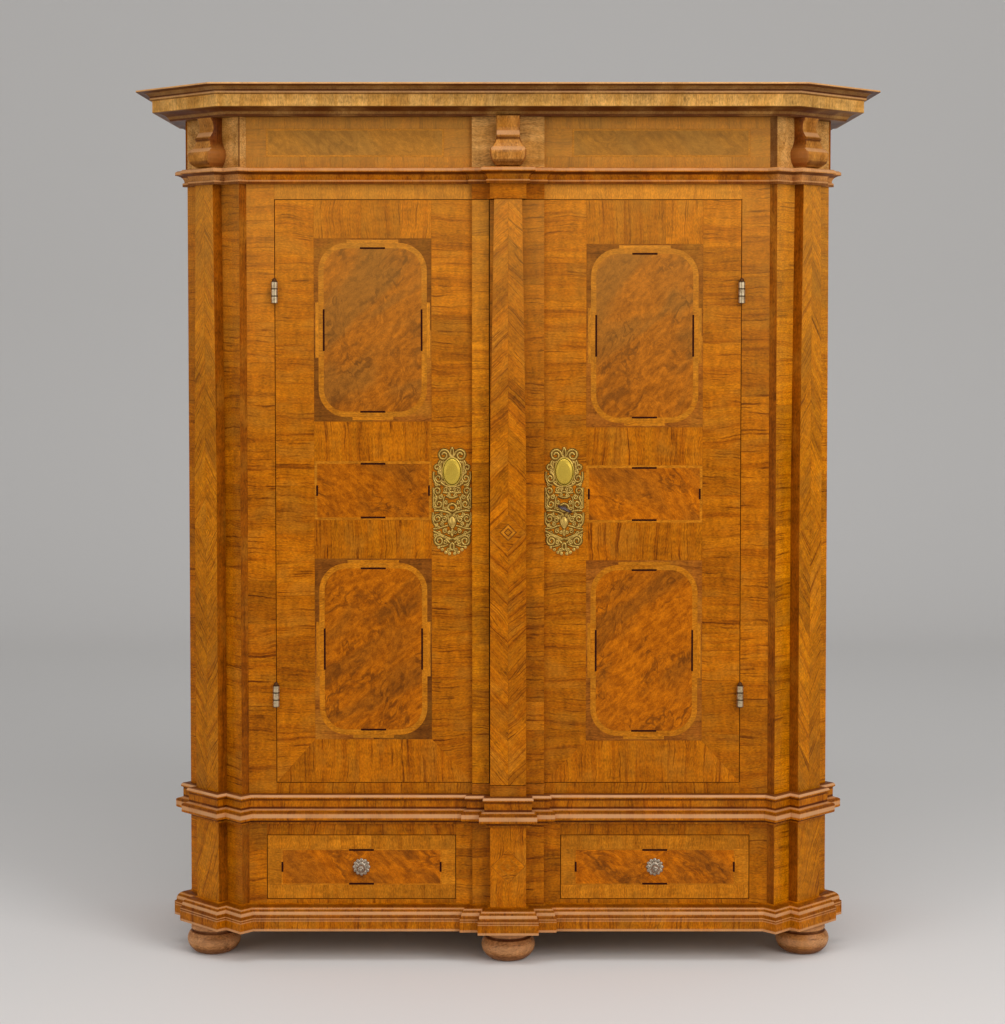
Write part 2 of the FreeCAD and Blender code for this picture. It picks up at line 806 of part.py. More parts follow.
def framed_side(side):
    """Frame and two panels of one side of the door case."""
    name = f"{hand(side)}_side"
    x = span(side, inner_x, side_x)
    lining = (S.board_thickness - S.panel_thickness) / 2
    panel_x = span(side, inner_x + lining, side_x - lining)
    front = (front_y + cant_run, front_y + cant_run + S.side_stile_width)
    rear = (back_y - S.side_stile_width, back_y)
    between = (front[1], rear[0])
    middle = (case_z[0] + case_z[1] - S.side_rail_height) / 2
    bottom = (case_z[0], case_z[0] + S.side_rail_height)
    centre = (middle, middle + S.side_rail_height)
    top = (case_z[1] - S.side_rail_height, case_z[1])
    return [
        block(f"{name}_front_stile", x, front, case_z),
        block(f"{name}_rear_stile", x, rear, case_z),
        block(f"{name}_bottom_rail", x, between, bottom),
        block(f"{name}_middle_rail", x, between, centre),
        block(f"{name}_top_rail", x, between, top),
        block(f"{name}_lower_panel", panel_x, between, (bottom[1], centre[0])),
        block(f"{name}_upper_panel", panel_x, between, (centre[1], top[0])),
    ]


def make_shelves():
    """Shelves with canted front corners, each on two battens."""
    edge = inner_x - S.shelf_clearance
    front = front_y + S.shelf_setback
    rear = back_inner_y - S.shelf_clearance
    corner = half_front - S.board_thickness - S.shelf_clearance * 2 - front_y
    outline = [
        (-(corner + front), front), (corner + front, front), (edge, edge - corner),
        (edge, rear), (-edge, rear), (-edge, edge - corner),
    ]
    batten_y = (edge - corner, rear)
    shelves = []
    battens = []
    for number in range(1, SHELVES + 1):
        level = door_zone_z + S.shelf_pitch * number
        body = plate_of(f"shelf_{number}", "XY_Plane", outline, S.shelf_thickness)
        shelves.append(place(body, 0, 0, level))
        for side in (-1, 1):
            title = f"{hand(side)}_batten_{number}"
            x = span(side, inner_x - S.batten_width, inner_x)
            battens.append(block(title, x, batten_y, (level - S.batten_height, level)))
    node("shelves", *shelves)
    node("shelf_battens", *battens)


def make_centre_blocks():
    """Fixed blocks that carry the line of the centre pilaster over the sill and the head."""
    plate_y = (front_y - S.centre_plate_proud, front_y)
    face_y = (plate_y[0] - S.pilaster_proud, plate_y[0])
    plate_x = (-half_plate, half_plate)
    face_x = (-half_pilaster, half_pilaster)
    blocks = []
    for name, level in (("sill", (door_zone_z, sill_top)), ("head", (head_bottom, case_z[1]))):
        blocks.append(block(f"{name}_centre_plate", plate_x, plate_y, level))
        blocks.append(block(f"{name}_centre_face", face_x, face_y, level))
    node("centre_blocks", *blocks)


def make_stops():
    """Strips behind the frame that the doors close against."""
    stops = []
    y = (frame_back, frame_back + S.stop_depth)
    for side in (-1, 1):
        x = span(side, half_opening - S.stop_length, half_opening)
        low = door_z[0] + S.stop_lap
        high = door_z[1] - S.stop_lap
        stops.append(block(f"{hand(side)}_lower_stop", x, y, (low - S.stop_height, low)))
        stops.append(block(f"{hand(side)}_upper_stop", x, y, (high, high + S.stop_height)))
    node("door_stops", *stops)


def make_frieze():
    """Frieze boards, corner and centre blocks, and the scroll consoles on them."""
    level = (frieze_z, cornice_z)
    depth = (front_y, front_y + S.board_thickness)
    boards = [block("frieze_back", (-inner_x, inner_x), (back_inner_y, back_y), level)]
    plate_y = (front_y - S.centre_plate_proud, depth[1])
    blocks = [block("frieze_centre", (-half_plate, half_plate), plate_y, level)]
    consoles = []
    for side in (-1, 1):
        word = hand(side)
        boards.append(block(f"{word}_frieze_front", span(side, half_plate, half_front), depth, level))
        sides = span(side, inner_x, side_x + S.pier_proud)
        boards.append(block(f"{word}_frieze_side", sides, (front_y + cant_run, back_y), level))
        blocks.append(corner_pier(f"{word}_frieze", side, level))
        consoles.append(on_cant(console(f"{word}_console"), side, frieze_z))
    consoles.append(place(console("centre_console"), 0, front_y - S.centre_plate_proud, frieze_z))
    node("frieze_boards", *boards)
    node("frieze_blocks", *blocks)
    node("consoles", *consoles)


def console(name):
    """Scroll console: a hollow neck that flares to the cornice over a full roll."""
    body = new_body(name)
    neck = scaled(NECK_SHARES, -S.console_projection, S.frieze_height)
    roll = scaled(ROLL_SHARES, -S.console_projection, S.console_roll_height)
    for corners, width in ((neck, S.console_neck_width), (roll, S.console_roll_width)):
        outward = [(corner[0], corner[1]) + tuple(-bulge for bulge in corner[2:]) for corner in corners]
        body.Tip = pad(body, "YZ_Plane", outward, width, symmetric=True)
    return body


def make_mouldings():
    """The four mouldings and the dust board inside the cornice."""
    left, middle, right = front_line()
    line = left + [middle] + right
    mitred_moulding("plinth_moulding", line, PLINTH_SHARES, S.plinth_projection, plinth_z, S.plinth_height)
    mitred_moulding("waist_moulding", line, WAIST_SHARES, S.waist_projection, waist_z, S.waist_height)
    mitred_moulding(
        "architrave_moulding", line, ARCHITRAVE_SHARES, S.architrave_projection, architrave_z,
        S.architrave_height,
    )
    mitred_moulding(
        "cornice_moulding", cornice_line(), CORNICE_SHARES, S.cornice_projection, cornice_z,
        S.cornice_height, S.cornice_seat,
    )
    edge = side_x + S.pier_proud - S.cornice_seat
    front = front_y + S.cornice_seat
    corner = half_front + pier_step * 2 - front_y - S.cornice_seat / DIAGONAL_SHARE
    outline = [
        (-(corner + front), front), (corner + front, front), (edge, edge - corner),
        (edge, back_y), (-edge, back_y), (-edge, edge - corner),
    ]
    board = plate_of("dust", "XY_Plane", outline, S.dust_board_thickness)
    node("dust_board", place(board, 0, 0, cornice_z))


# Hinge axes stand just in front of the gap between leaf and stile
hinge_x = half_opening - S.door_gap / 2
hinge_y = front_y - S.hinge_standoff
hinge_middles = (sill_top + S.lower_hinge_rise, head_bottom - S.upper_hinge_drop)
knuckle_pitch = S.knuckle_height + S.knuckle_gap


def knuckle_z(middle, place_in_hinge):
    """Bottom of a knuckle: -1 for the lower, 0 for the middle and 1 for the upper one."""
    return middle - S.knuckle_height / 2 + knuckle_pitch * place_in_hinge


def tang(name, side, on_frame, z):
    """Flat tang that runs from a knuckle straight back into the wood of the stile or of the leaf."""
    outer = half_opening + S.tang_thickness
    inner = half_opening - S.door_gap - S.tang_thickness
    across = (half_opening, outer) if on_frame else (inner, inner + S.tang_thickness)
    return block(name, span(side, *across), (hinge_y, front_y + S.tang_depth), (z, z + S.knuckle_height))


def knuckle(name, side, on_frame, z):
    """Round knuckle with its tang, bored for the pin."""
    x = hinge_x if side > 0 else -hinge_x
    barrel = rod(f"{name}_barrel", S.knuckle_diameter, S.knuckle_height, x, hinge_y, z, (0, 0, 1))
    bore = rod(
        f"{name}_bore", S.hinge_pin_diameter + S.pin_clearance * 2, S.knuckle_height, x, hinge_y, z, (0, 0, 1)
    )
    return cut(name, joined(name, barrel, tang(f"{name}_tang", side, on_frame, z)), bore)


def hinge_pin(name, side, middle):
    """Pin through the three knuckles with a small finial on top."""
    radius = S.hinge_pin_diameter / 2
    head = S.pin_head_diameter / 2
    length = S.knuckle_height * 3 + S.knuckle_gap * 2
    tip = length + S.pin_head_height
    neck = length + S.pin_head_height / 4
    button = S.pin_tip_diameter / 2
    profile = [
        (0, 0), (radius, 0), (radius, length), (head, length), (head, neck), (button, tip, PIN_HEAD_BULGE),
        (0, tip),
    ]
    body = new_body(name)
    turn_profile(body, "XZ_Plane", profile)
    return place(body, hinge_x if side > 0 else -hinge_x, hinge_y, knuckle_z(middle, -1))


def make_hinges():
    """Knuckles of the frame, knuckles of each door and the pins."""
    frame = []
    pins = []
    for side in (-1, 1):
        doors = []
        for number, middle in enumerate(hinge_middles, start=1):
            name = f"{hand(side)}_hinge_{number}"
            doors.append(knuckle(f"{name}_door", side, False, knuckle_z(middle, 0)))
            frame.append(knuckle(f"{name}_lower", side, True, knuckle_z(middle, -1)))
            frame.append(knuckle(f"{name}_upper", side, True, knuckle_z(middle, 1)))
            pins.append(hinge_pin(f"{name}_pin", side, middle))
        node(f"{hand(side)}_door_knuckles", *doors)
    node("frame_knuckles", *frame)
    node("hinge_pins", *pins)


def make_stiles():
    """Front stiles with mortises for the tangs of the frame knuckles."""
    stiles = []
    for side in (-1, 1):
        name = f"{hand(side)}_front_stile"
        mortises = []
        for number, middle in enumerate(hinge_middles, start=1):
            for word, place_in_hinge in (("lower", -1), ("upper", 1)):
                title = f"{name}_{word}_mortise_{number}"
                mortises.append(tang(title, side, True, knuckle_z(middle, place_in_hinge)))
        stile = block(name, span(side, half_opening, half_front), (front_y, frame_back), case_z)
        stiles.append(cut(name, stile, *mortises))
    node("front_stiles", *stiles)


def door_leaf(side, x, *holes):
    """Door leaf with mortises for the tangs of its knuckles and any holes through it."""
    name = f"{hand(side)}_leaf"
    mortises = []
    for number, middle in enumerate(hinge_middles, start=1):
        mortises.append(tang(f"{name}_mortise_{number}", side, False, knuckle_z(middle, 0)))
    leaf = block(name, x, (front_y, leaf_back), door_z)
    node(f"{hand(side)}_door_leaf", cut(name, leaf, *mortises, *holes))


def brass_plate(side, keyhole):
    """Pierced brass plate with an oval boss, and a keyhole where the lock is."""
    name = f"{hand(side)}_plate"
    half = scaled(PLATE_SHARES, S.plate_width, S.plate_height)
    other = []
    for corner, following in zip(reversed(half[1:-1]), reversed(half[2:])):
        other.append((-corner[0], corner[1]) + tuple(following[2:]))
    start = half[0] + tuple(half[1][2:])
    body = plate_of(name, "XZ_Plane", [start] + half[1:] + other, S.plate_thickness)
    holes = sketch_in(body, "XZ_Plane")
    for across, up, radius in PIERCING_SHARES:
        for mirror in (-1, 1):
            tie_circle(holes, S.plate_width * across * mirror, S.plate_height * up, S.plate_width * radius)
    if keyhole:
        tie_circle(holes, 0, -S.key_drop, S.keyhole_diameter / 2)
    pocket = body.newObject("PartDesign::Pocket", f"{name}_piercing")
    pocket.Profile = holes
    tie(pocket, "Length", S.plate_thickness)
    pocket.Reversed = True
    boss = doc.addObject("Part::Ellipsoid", f"{name}_boss")
    tie(boss, "Radius1", S.boss_height / 2)
    tie(boss, "Radius2", S.boss_width / 2)
    tie(boss, "Radius3", S.boss_proud)
    boss.Angle3 = HALF_TURN
    return body, boss


def make_doors():
    """Both doors with what is fixed to them."""
    right_edge = -S.meeting_offset + S.meeting_gap / 2
    left_edge = -S.meeting_offset - S.meeting_gap / 2
    outer = half_opening - S.door_gap
    plate_y = (front_y - S.centre_plate_proud, front_y)
    key_z = plate_z - S.key_drop
    hole = rod("key_hole", S.keyhole_diameter, S.door_thickness, S.plate_offset, front_y, key_z, (0, 1, 0))
    door_leaf(-1, (-outer, left_edge))
    door_leaf(1, (right_edge, outer), hole)
    node("left_meeting_strip", block("left_strip", (-half_plate, left_edge), plate_y, door_z))
    node("right_meeting_plate", block("right_strip", (right_edge, half_plate), plate_y, door_z))
    raised = pilaster("centre", door_z[1] - door_z[0], S.pilaster_top_width)
    node("centre_pilaster", place(raised, 0, plate_y[0], door_z[0]))
    for side in (-1, 1):
        plate, boss = brass_plate(side, side > 0)
        x = S.plate_offset if side > 0 else -S.plate_offset
        place(plate, x, front_y, plate_z)
        place(boss, x, front_y - S.plate_thickness, plate_z + S.boss_rise, HALF_TURN)
        node(f"{hand(side)}_brass_plate", joined(f"{hand(side)}_escutcheon", plate, boss))


def make_lock():
    """Box lock on the right door, its bolt, the key and the keeper on the left door."""
    key_x = S.plate_offset
    key_z = plate_z - S.key_drop
    edge = -S.meeting_offset + S.meeting_gap / 2
    case_x = (edge + S.lock_inset, key_x + S.lock_overlap)
    case_y = (leaf_back, leaf_back + S.lock_depth)
    low = key_z - S.lock_height / 2
    case_level = (low, low + S.lock_height)
    wall = S.lock_wall
    hollow = block(
        "lock_hollow",
        (case_x[0] + wall, case_x[1] - wall),
        (case_y[0], case_y[1] - wall),
        (case_level[0] + wall, case_level[1] - wall),
    )
    bolt_low = key_z + S.lock_bolt_rise
    bolt_z = (bolt_low, bolt_low + S.lock_bolt_height)
    bolt_near = case_y[0] + S.keeper_wall
    bolt_y = (bolt_near, bolt_near + S.lock_bolt_depth)
    fit = S.slide_clearance
    slot_y = (bolt_y[0] - fit, bolt_y[1] + fit)
    slot_z = (bolt_z[0] - fit, bolt_z[1] + fit)
    slot = block("lock_slot", (case_x[0], case_x[0] + wall), slot_y, slot_z)
    seat_diameter = S.key_diameter + S.pin_clearance * 2
    seat = rod("key_seat", seat_diameter, S.lock_wall, key_x, case_y[1] - wall, key_z, (0, 1, 0))
    node("lock_case", cut("lock", block("lock_box", case_x, case_y, case_level), hollow, slot, seat))
    node("lock_bolt", block("bolt", (case_x[0], case_x[0] + S.lock_bolt_length), bolt_y, bolt_z))
    keeper_right = -S.meeting_offset - S.meeting_gap / 2 - S.keeper_wall
    keeper_x = (keeper_right - S.keeper_width, keeper_right)
    outer_z = (slot_z[0] - S.keeper_wall, slot_z[1] + S.keeper_wall)
    staple = block("keeper_bar", keeper_x, (leaf_back, slot_y[1] + S.keeper_wall), outer_z)
    node("lock_keeper", cut("keeper", staple, block("keeper_slot", keeper_x, (leaf_back, slot_y[1]), slot_z)))
    tip = case_y[1]
    start = front_y - S.key_reach
    shank = rod("key_shank", S.key_diameter, tip - start, key_x, start, key_z, (0, 1, 0))
    bow = doc.addObject("Part::Torus", "key_bow")
    tie(bow, "Radius1", S.key_bow_diameter / 2)
    tie(bow, "Radius2", S.key_bow_wire / 2)
    place(bow, key_x, start - S.key_bow_diameter / 2, key_z)
    bow.Placement.Rotation = FreeCAD.Rotation(FreeCAD.Vector(0, 1, 0), KEY_BOW_TURN)
    half_bit = S.key_bit_thickness / 2
    bit_end = tip - S.lock_wall - S.slide_clearance
    bit = block(
        "key_bit",
        (key_x - half_bit, key_x + half_bit),
        (bit_end - S.key_bit_depth, bit_end),
        (key_z - S.key_bit_length, key_z),
    )
    node("key", joined("key", shank, bow, bit))


def make_shoot_bolts():
    """Upper and lower shoot bolt, which slide behind the head and the sill, with their guides."""
    x_high = -S.meeting_offset - S.meeting_gap / 2 - S.shoot_bolt_inset
    x = (x_high - S.shoot_bolt_width, x_high)
    fit = S.slide_clearance
    y = (frame_back + fit, frame_back + fit + S.shoot_bolt_depth)
    top = door_z[1] - S.shoot_bolt_setback
    bottom = door_z[0] + S.shoot_bolt_setback
    ranges = {"upper": (top - S.shoot_bolt_length, top), "lower": (bottom, bottom + S.shoot_bolt_length)}
    guides = []
    middle = (x[0] + x[1]) / 2
    for word, level in ranges.items():
        bar = block(f"{word}_bar", x, y, level)
        half = (level[0] + level[1]) / 2
        stud = rod(f"{word}_stud", S.bolt_knob_diameter, S.bolt_knob_length, middle, y[1], half, (0, 1, 0))
        node(f"{word}_shoot_bolt", joined(f"{word}_bolt", bar, stud))
        for number, quarter in enumerate(((level[0] + half) / 2, (half + level[1]) / 2), start=1):
            guides.append(bolt_guide(f"{word}_guide_{number}", x, y, quarter))
    node("bolt_guides", *guides)


def bolt_guide(name, x, y, middle):
    """Staple over a shoot bolt."""
    fit = S.slide_clearance
    wall = S.bolt_guide_wall
    half = S.bolt_guide_height / 2
    level = (middle - half, middle + half)
    hollow_x = (x[0] - fit, x[1] + fit)
    outer_x = (hollow_x[0] - wall, hollow_x[1] + wall)
    outer = block(f"{name}_outer", outer_x, (leaf_back, y[1] + fit + wall), level)
    hollow = block(f"{name}_hollow", hollow_x, (leaf_back, y[1] + fit), level)
    return cut(name, outer, hollow)


def faults():
    """Names of everything that failed to build or has no sound shape."""
    failed = [item.Label for item in doc.Objects if {"Invalid", "Error"} & set(item.State)]
    for item in nodes:
        if item.Shape.isNull() or not item.Shape.isValid() or not item.Shape.Solids:
            failed.append(item.Label)
    for item in doc.findObjects("PartDesign::Pocket"):
        if item.Shape.Volume >= item.BaseFeature.Shape.Volume:
            failed.append(item.Label)
    return failed


def main():
    """Builds every piece, checks it and writes one file per node."""
    make_feet()
    make_drawer_case()
    make_drawer_frame()
    make_door_case()
    make_shelves()
    make_centre_blocks()
    make_stops()
    make_frieze()
    make_mouldings()
    make_hinges()
    make_stiles()
    make_doors()
    make_lock()
    make_shoot_bolts()
    for side in (-1, 1):
        make_drawer(side)
    doc.recompute()
    failed = faults()
    if failed:
        raise RuntimeError("failed pieces: " + ", ".join(failed))
    os.makedirs("parts", exist_ok=True)
    for item in nodes:
        item.Shape.exportStep(f"parts/{item.Label}.step")
    print(len(nodes), "nodes,", sum(len(item.Shape.Solids) for item in nodes), "solids")


main()
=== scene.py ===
"""Baroque walnut hall cupboard: finish, inlay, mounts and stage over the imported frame."""
import bpy
import bmesh
import itertools
import math
import random
from mathutils import Matrix, Vector


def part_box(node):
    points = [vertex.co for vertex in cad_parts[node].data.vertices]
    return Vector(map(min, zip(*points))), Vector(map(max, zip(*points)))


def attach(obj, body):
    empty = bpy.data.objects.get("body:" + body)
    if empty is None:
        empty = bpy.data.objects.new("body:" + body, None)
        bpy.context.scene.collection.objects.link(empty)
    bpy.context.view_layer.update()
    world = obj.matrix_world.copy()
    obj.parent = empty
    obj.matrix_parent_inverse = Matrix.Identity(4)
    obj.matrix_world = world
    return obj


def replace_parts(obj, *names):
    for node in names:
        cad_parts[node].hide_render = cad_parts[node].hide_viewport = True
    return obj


bl_info = {
    "name": "Walnut hall cupboard",
    "version": (1, 0, 0),
    "blender": (4, 5, 0),
    "location": "View3D > Sidebar > Cupboard",
    "description": "Veneers, brass mounts and a plain stage for a baroque hall cupboard",
    "category": "Object",
}

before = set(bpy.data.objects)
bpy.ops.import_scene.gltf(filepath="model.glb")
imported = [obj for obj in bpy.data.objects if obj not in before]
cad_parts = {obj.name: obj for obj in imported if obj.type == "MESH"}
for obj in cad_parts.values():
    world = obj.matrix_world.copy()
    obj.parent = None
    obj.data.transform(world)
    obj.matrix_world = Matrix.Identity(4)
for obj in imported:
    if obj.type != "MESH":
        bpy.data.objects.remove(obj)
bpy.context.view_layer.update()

# Planes and lines that the pieces share, taken from the frame
FRONT_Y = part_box("left_door_leaf")[0].y
FLOOR_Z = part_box("front_feet")[0].z
PLATE_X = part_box("right_meeting_plate")[1].x
PLATE_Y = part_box("right_meeting_plate")[0].y
PILASTER_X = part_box("centre_pilaster")[1].x
FRAME_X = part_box("front_stiles")[1].x
BASE_LEVELS = (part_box("plinth_moulding")[1].z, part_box("waist_moulding")[0].z)

# Canted corners: how far the pier stands out from the frame, its width and how far its pilaster stands out
CANT_STEP = 0.02
CANT_WIDTH = 0.1895
CANT_PILASTER = 0.025

# Pilasters: from the foot to the shoulder, half the width at the top and the levels of the two diamonds
SHOULDER = 0.7
NECK = 0.031
CHEVRON_TURN = 0.976
BASE_DIAMOND = 0.222

SIDES = ((-1, "left"), (1, "right"))


def linear(red, green, blue):
    """Colour written as it is seen on a screen, in the linear numbers that the shaders use."""
    channels = []
    for value in (red, green, blue):
        share = value / 255
        channels.append(share / 12.92 if share <= 0.04045 else ((share + 0.055) / 1.055) ** 2.4)
    return tuple(channels)


class VeneerSettings(bpy.types.PropertyGroup):
    """Sizes and colours of the veneers."""

    thickness: bpy.props.FloatProperty(
        name="Thickness", description="How far a leaf stands proud of the ground", default=0.0003, min=0.0001,
        max=0.001, precision=5, unit="LENGTH",
    )
    joint: bpy.props.FloatProperty(
        name="Joint", description="Open joint between two leaves", default=0.0004, min=0.0, max=0.002,
        precision=5, unit="LENGTH",
    )
    band_width: bpy.props.FloatProperty(
        name="Strap width", description="Width of the light strap round a door panel", default=0.012,
        min=0.004, max=0.03, unit="LENGTH",
    )
    corner_radius: bpy.props.FloatProperty(
        name="Strap corner", description="Radius of the strap's round corners", default=0.05, min=0.01,
        max=0.1, unit="LENGTH",
    )
    light: bpy.props.FloatVectorProperty(
        name="Light walnut", description="Palest colour of the veneer", default=linear(185, 106, 4), size=3,
        min=0, max=1, subtype="COLOR",
    )
    mid: bpy.props.FloatVectorProperty(
        name="Walnut", description="Main colour of the veneer", default=linear(163, 85, 0), size=3, min=0,
        max=1, subtype="COLOR",
    )
    dark: bpy.props.FloatVectorProperty(
        name="Dark walnut", description="Colour of the dark streaks", default=linear(100, 45, 0), size=3,
        min=0, max=1, subtype="COLOR",
    )
    ebony: bpy.props.FloatVectorProperty(
        name="Ebony", description="Colour of the short dark lines", default=linear(46, 14, 6), size=3, min=0,
        max=1, subtype="COLOR",
    )


class MountSettings(bpy.types.PropertyGroup):
    """Sizes and colours of the metal mounts."""

    wire: bpy.props.FloatProperty(
        name="Scroll width", description="Width of a scroll of the pierced plates", default=0.003, min=0.001,
        max=0.006, precision=4, unit="LENGTH",
    )
    petals: bpy.props.IntProperty(
        name="Rosette petals", description="Petals of a knob's rosette", default=12, min=5, max=24,
    )
    brass: bpy.props.FloatVectorProperty(
        name="Brass", description="Colour of the door plates", default=linear(204, 166, 84), size=3, min=0,
        max=1, subtype="COLOR",
    )
    iron: bpy.props.FloatVectorProperty(
        name="Hinge metal", description="Colour of the bright hinges", default=linear(200, 180, 146), size=3,
        min=0, max=1, subtype="COLOR",
    )


class StageSettings(bpy.types.PropertyGroup):
    """Camera and floor."""

    lens: bpy.props.FloatProperty(
        name="Focal length", description="Lens over a 36 mm frame height", default=78.35, min=20, max=200,
        unit="CAMERA",
    )
    distance: bpy.props.FloatProperty(
        name="Distance", description="From the doors to the lens", default=5.0, min=1, max=12, unit="LENGTH",
    )
    height: bpy.props.FloatProperty(
        name="Lens height", description="Height of the lens over the floor", default=1.458, min=0.2, max=4,
        unit="LENGTH",
    )
    pitch: bpy.props.FloatProperty(
        name="Pitch", description="How far the camera looks down", default=math.radians(2.39), min=0, max=1,
        subtype="ANGLE",
    )
    shift_x: bpy.props.FloatProperty(
        name="Shift across", description="Sideways shift of the frame", default=-0.0055, min=-0.5, max=0.5,
        precision=4,
    )
    shift_y: bpy.props.FloatProperty(
        name="Shift up", description="Upward shift of the frame", default=-0.1, min=-0.5, max=0.5,
        precision=4,
    )
    floor: bpy.props.FloatVectorProperty(
        name="Floor", description="Colour of the floor and the backdrop", default=linear(226, 224, 222),
        size=3, min=0, max=1, subtype="COLOR",
    )


class Wire:
    """A shader value that can be added, multiplied and so on; each step adds a Math node."""

    def __init__(self, finish, socket):
        self.finish = finish
        self.socket = socket

    def math(self, operation, *others):
        return self.finish.node("ShaderNodeMath", {"operation": operation}, [self, *others])

    def __add__(self, other):
        return self.math("ADD", other)

    def __sub__(self, other):
        return self.math("SUBTRACT", other)

    def __mul__(self, other):
        return self.math("MULTIPLY", other)

    def __truediv__(self, other):
        return self.math("DIVIDE", other)

    def __abs__(self):
        return self.math("ABSOLUTE")

    def between(self, low, high):
        """0 below low, 1 above high and smooth between."""
        return self.finish.node("ShaderNodeMapRange", {"interpolation_type": "SMOOTHSTEP"}, [self, low, high])


class Finish:
    """A procedural material under construction."""

    def __init__(self, name, roughness=0.4, metallic=0.0, coat=0.0):
        self.material = bpy.data.materials.new(name)
        self.material.use_nodes = True
        self.tree = self.material.node_tree
        self.shader = self.tree.nodes["Principled BSDF"]
        self.shader.inputs["Roughness"].default_value = roughness
        self.shader.inputs["Metallic"].default_value = metallic
        self.shader.inputs["Coat Weight"].default_value = coat
        self.shader.inputs["Coat Roughness"].default_value = 0.25
        self.shader.inputs["Specular IOR Level"].default_value = 0.06

    def set(self, socket, value):
        """Gives a socket a link or a constant."""
        if isinstance(value, Wire):
            self.tree.links.new(value.socket, socket)
        elif socket.type == "RGBA" and len(value) == 3:
            socket.default_value = (*value, 1)
        else:
            socket.default_value = value

    def node(self, kind, settings=None, values=(), output=0):
        """Adds a node: its settings first, then its sockets by place or by name."""
        item = self.tree.nodes.new(kind)
        for name, value in (settings or {}).items():
            setattr(item, name, value)
        pairs = values.items() if isinstance(values, dict) else enumerate(values)
        for key, value in pairs:
            self.set(item.inputs[key], value)
        return Wire(self, item.outputs[output])

    def mix(self, share, first, second, blend="MIX"):
        """Mixes two colours."""
        settings = {"data_type": "RGBA", "blend_type": blend}
        return self.node("ShaderNodeMix", settings, {0: share, 6: first, 7: second}, output=2)

    def axes(self, vector):
        """The three numbers of a vector."""
        item = self.tree.nodes.new("ShaderNodeSeparateXYZ")
        self.set(item.inputs[0], vector)
        return [Wire(self, socket) for socket in item.outputs]

    def vector(self, x=0.0, y=0.0, z=0.0):
        """A vector from three numbers."""
        return self.node("ShaderNodeCombineXYZ", None, [x, y, z])

    def noise(self, place, scale=1.0, detail=2.0, roughness=0.5, distortion=0.0):
        """Smooth noise from 0 to 1."""
        values = {"Vector": place, "Scale": scale, "Detail": detail, "Roughness": roughness}
        values["Distortion"] = distortion
        return self.node("ShaderNodeTexNoise", {"noise_dimensions": "3D"}, values)

    def chance(self, number):
        """A number from 0 to 1 that jumps whenever another one changes."""
        return self.node("ShaderNodeTexWhiteNoise", {"noise_dimensions": "1D"}, {"W": number})

    def place(self):
        """Object coordinates, in metres in the shared frame."""
        return self.node("ShaderNodeTexCoord", None, (), output="Object")

    def wire_to(self, name, value):
        """Feeds one input of the shader."""
        self.set(self.shader.inputs[name], value)

    def bump(self, height, strength, distance):
        """Feeds a relief into the shader's normal."""
        values = {"Strength": strength, "Distance": distance, "Height": height}
        self.wire_to("Normal", self.node("ShaderNodeBump", None, values))


FINISHES = {}


def keep(name, finish):
    """Stores a finished material under its name."""
    FINISHES[name] = finish.material


def wood_colour(finish, along, across, depth, colours, streaks, pitch):
    """Colour, shade and fibres of straight-grained wood from its coordinates along and across the grain."""
    light, mid, dark = colours
    sway = finish.noise(finish.vector(along * 8.0, across * 7.0, depth * 7.0), detail=3.0)
    across = across + (sway - 0.5) * 0.03

    def figure(lengthwise, crosswise, detail, roughness=0.5):
        """Noise drawn out along the grain."""
        place = finish.vector(along * lengthwise, across * crosswise, depth * crosswise)
        return finish.noise(place, detail=detail, roughness=roughness)

    bands = figure(2.5, pitch, 4.0, 0.65)
    lines = figure(4.0, pitch * 4.2, 3.0)
    cloud = figure(10.0, 15.0, 3.0)
    breaks = figure(17.0, 45.0, 2.0)
    speck = figure(150.0, 330.0, 3.0)
    fibre = figure(45.0, 1400.0, 2.0)
    ripple = figure(70.0, 24.0, 2.0)
    colour = finish.mix(bands.between(0.3, 0.7), mid, light)
    colour = finish.mix(cloud.between(0.47, 0.68) * 0.5, colour, linear(146, 92, 20))
    streak = lines.between(0.5, 0.7) * breaks.between(0.38, 0.6) * streaks
    colour = finish.mix(streak, colour, dark)
    colour = finish.mix(bands.between(0.43, 0.27) * (streaks * 0.6), colour, dark)
    shade = (cloud - 0.5) * 0.8 + (fibre - 0.5) * 0.5 + (ripple - 0.5) * 0.85 + (speck - 0.5) * 1.4 + 1.0
    return colour, shade, fibre


def fade_and_sheen_top(finish, colour, share=0.3):
    """Wood made a little paler towards the top of the cupboard: partly faded wood, partly painted sheen."""
    height = finish.axes(finish.place())[2]
    return finish.mix(height.between(1.05, 1.95) * share, colour, linear(186, 140, 70))


def shaded(finish, colour, shade):
    """A colour made lighter or darker by a number near 1."""
    return finish.mix(1.0, colour, finish.vector(shade, shade, shade), blend="MULTIPLY")


def keep_varnished(name, finish, colour, fibre):
    """Stores a wood under satin varnish: slightly uneven gloss and a trace of open pores."""
    finish.wire_to("Base Color", colour)
    finish.wire_to("Roughness", finish.noise(finish.place(), scale=9.0) * 0.22 + 0.3)
    finish.bump(fibre, 0.12, 0.0004)
    keep(name, finish)


def leaf_inputs(finish):
    """Coordinates along and across the grain of a veneer leaf, and how much darker or lighter it is."""
    along, across, unused = finish.axes(finish.node("ShaderNodeUVMap", {"uv_map": "grain"}))
    tone = finish.node("ShaderNodeAttribute", {"attribute_name": "tone"}, (), output="Fac")
    return along, across, tone


def veneer_finish(name, colours, streaks, pitch, spread=0.3, pale_share=0.3):
    """Straight-grained veneer; every leaf has its own direction and tone."""
    finish = Finish(name, coat=0.04)
    along, across, tone = leaf_inputs(finish)
    colour, shade, fibre = wood_colour(finish, along, across, 0.0, colours, streaks, pitch)
    colour = shaded(finish, colour, shade * ((tone - 0.5) * spread + 1.0))
    keep_varnished(name, finish, fade_and_sheen_top(finish, colour, pale_share), fibre)


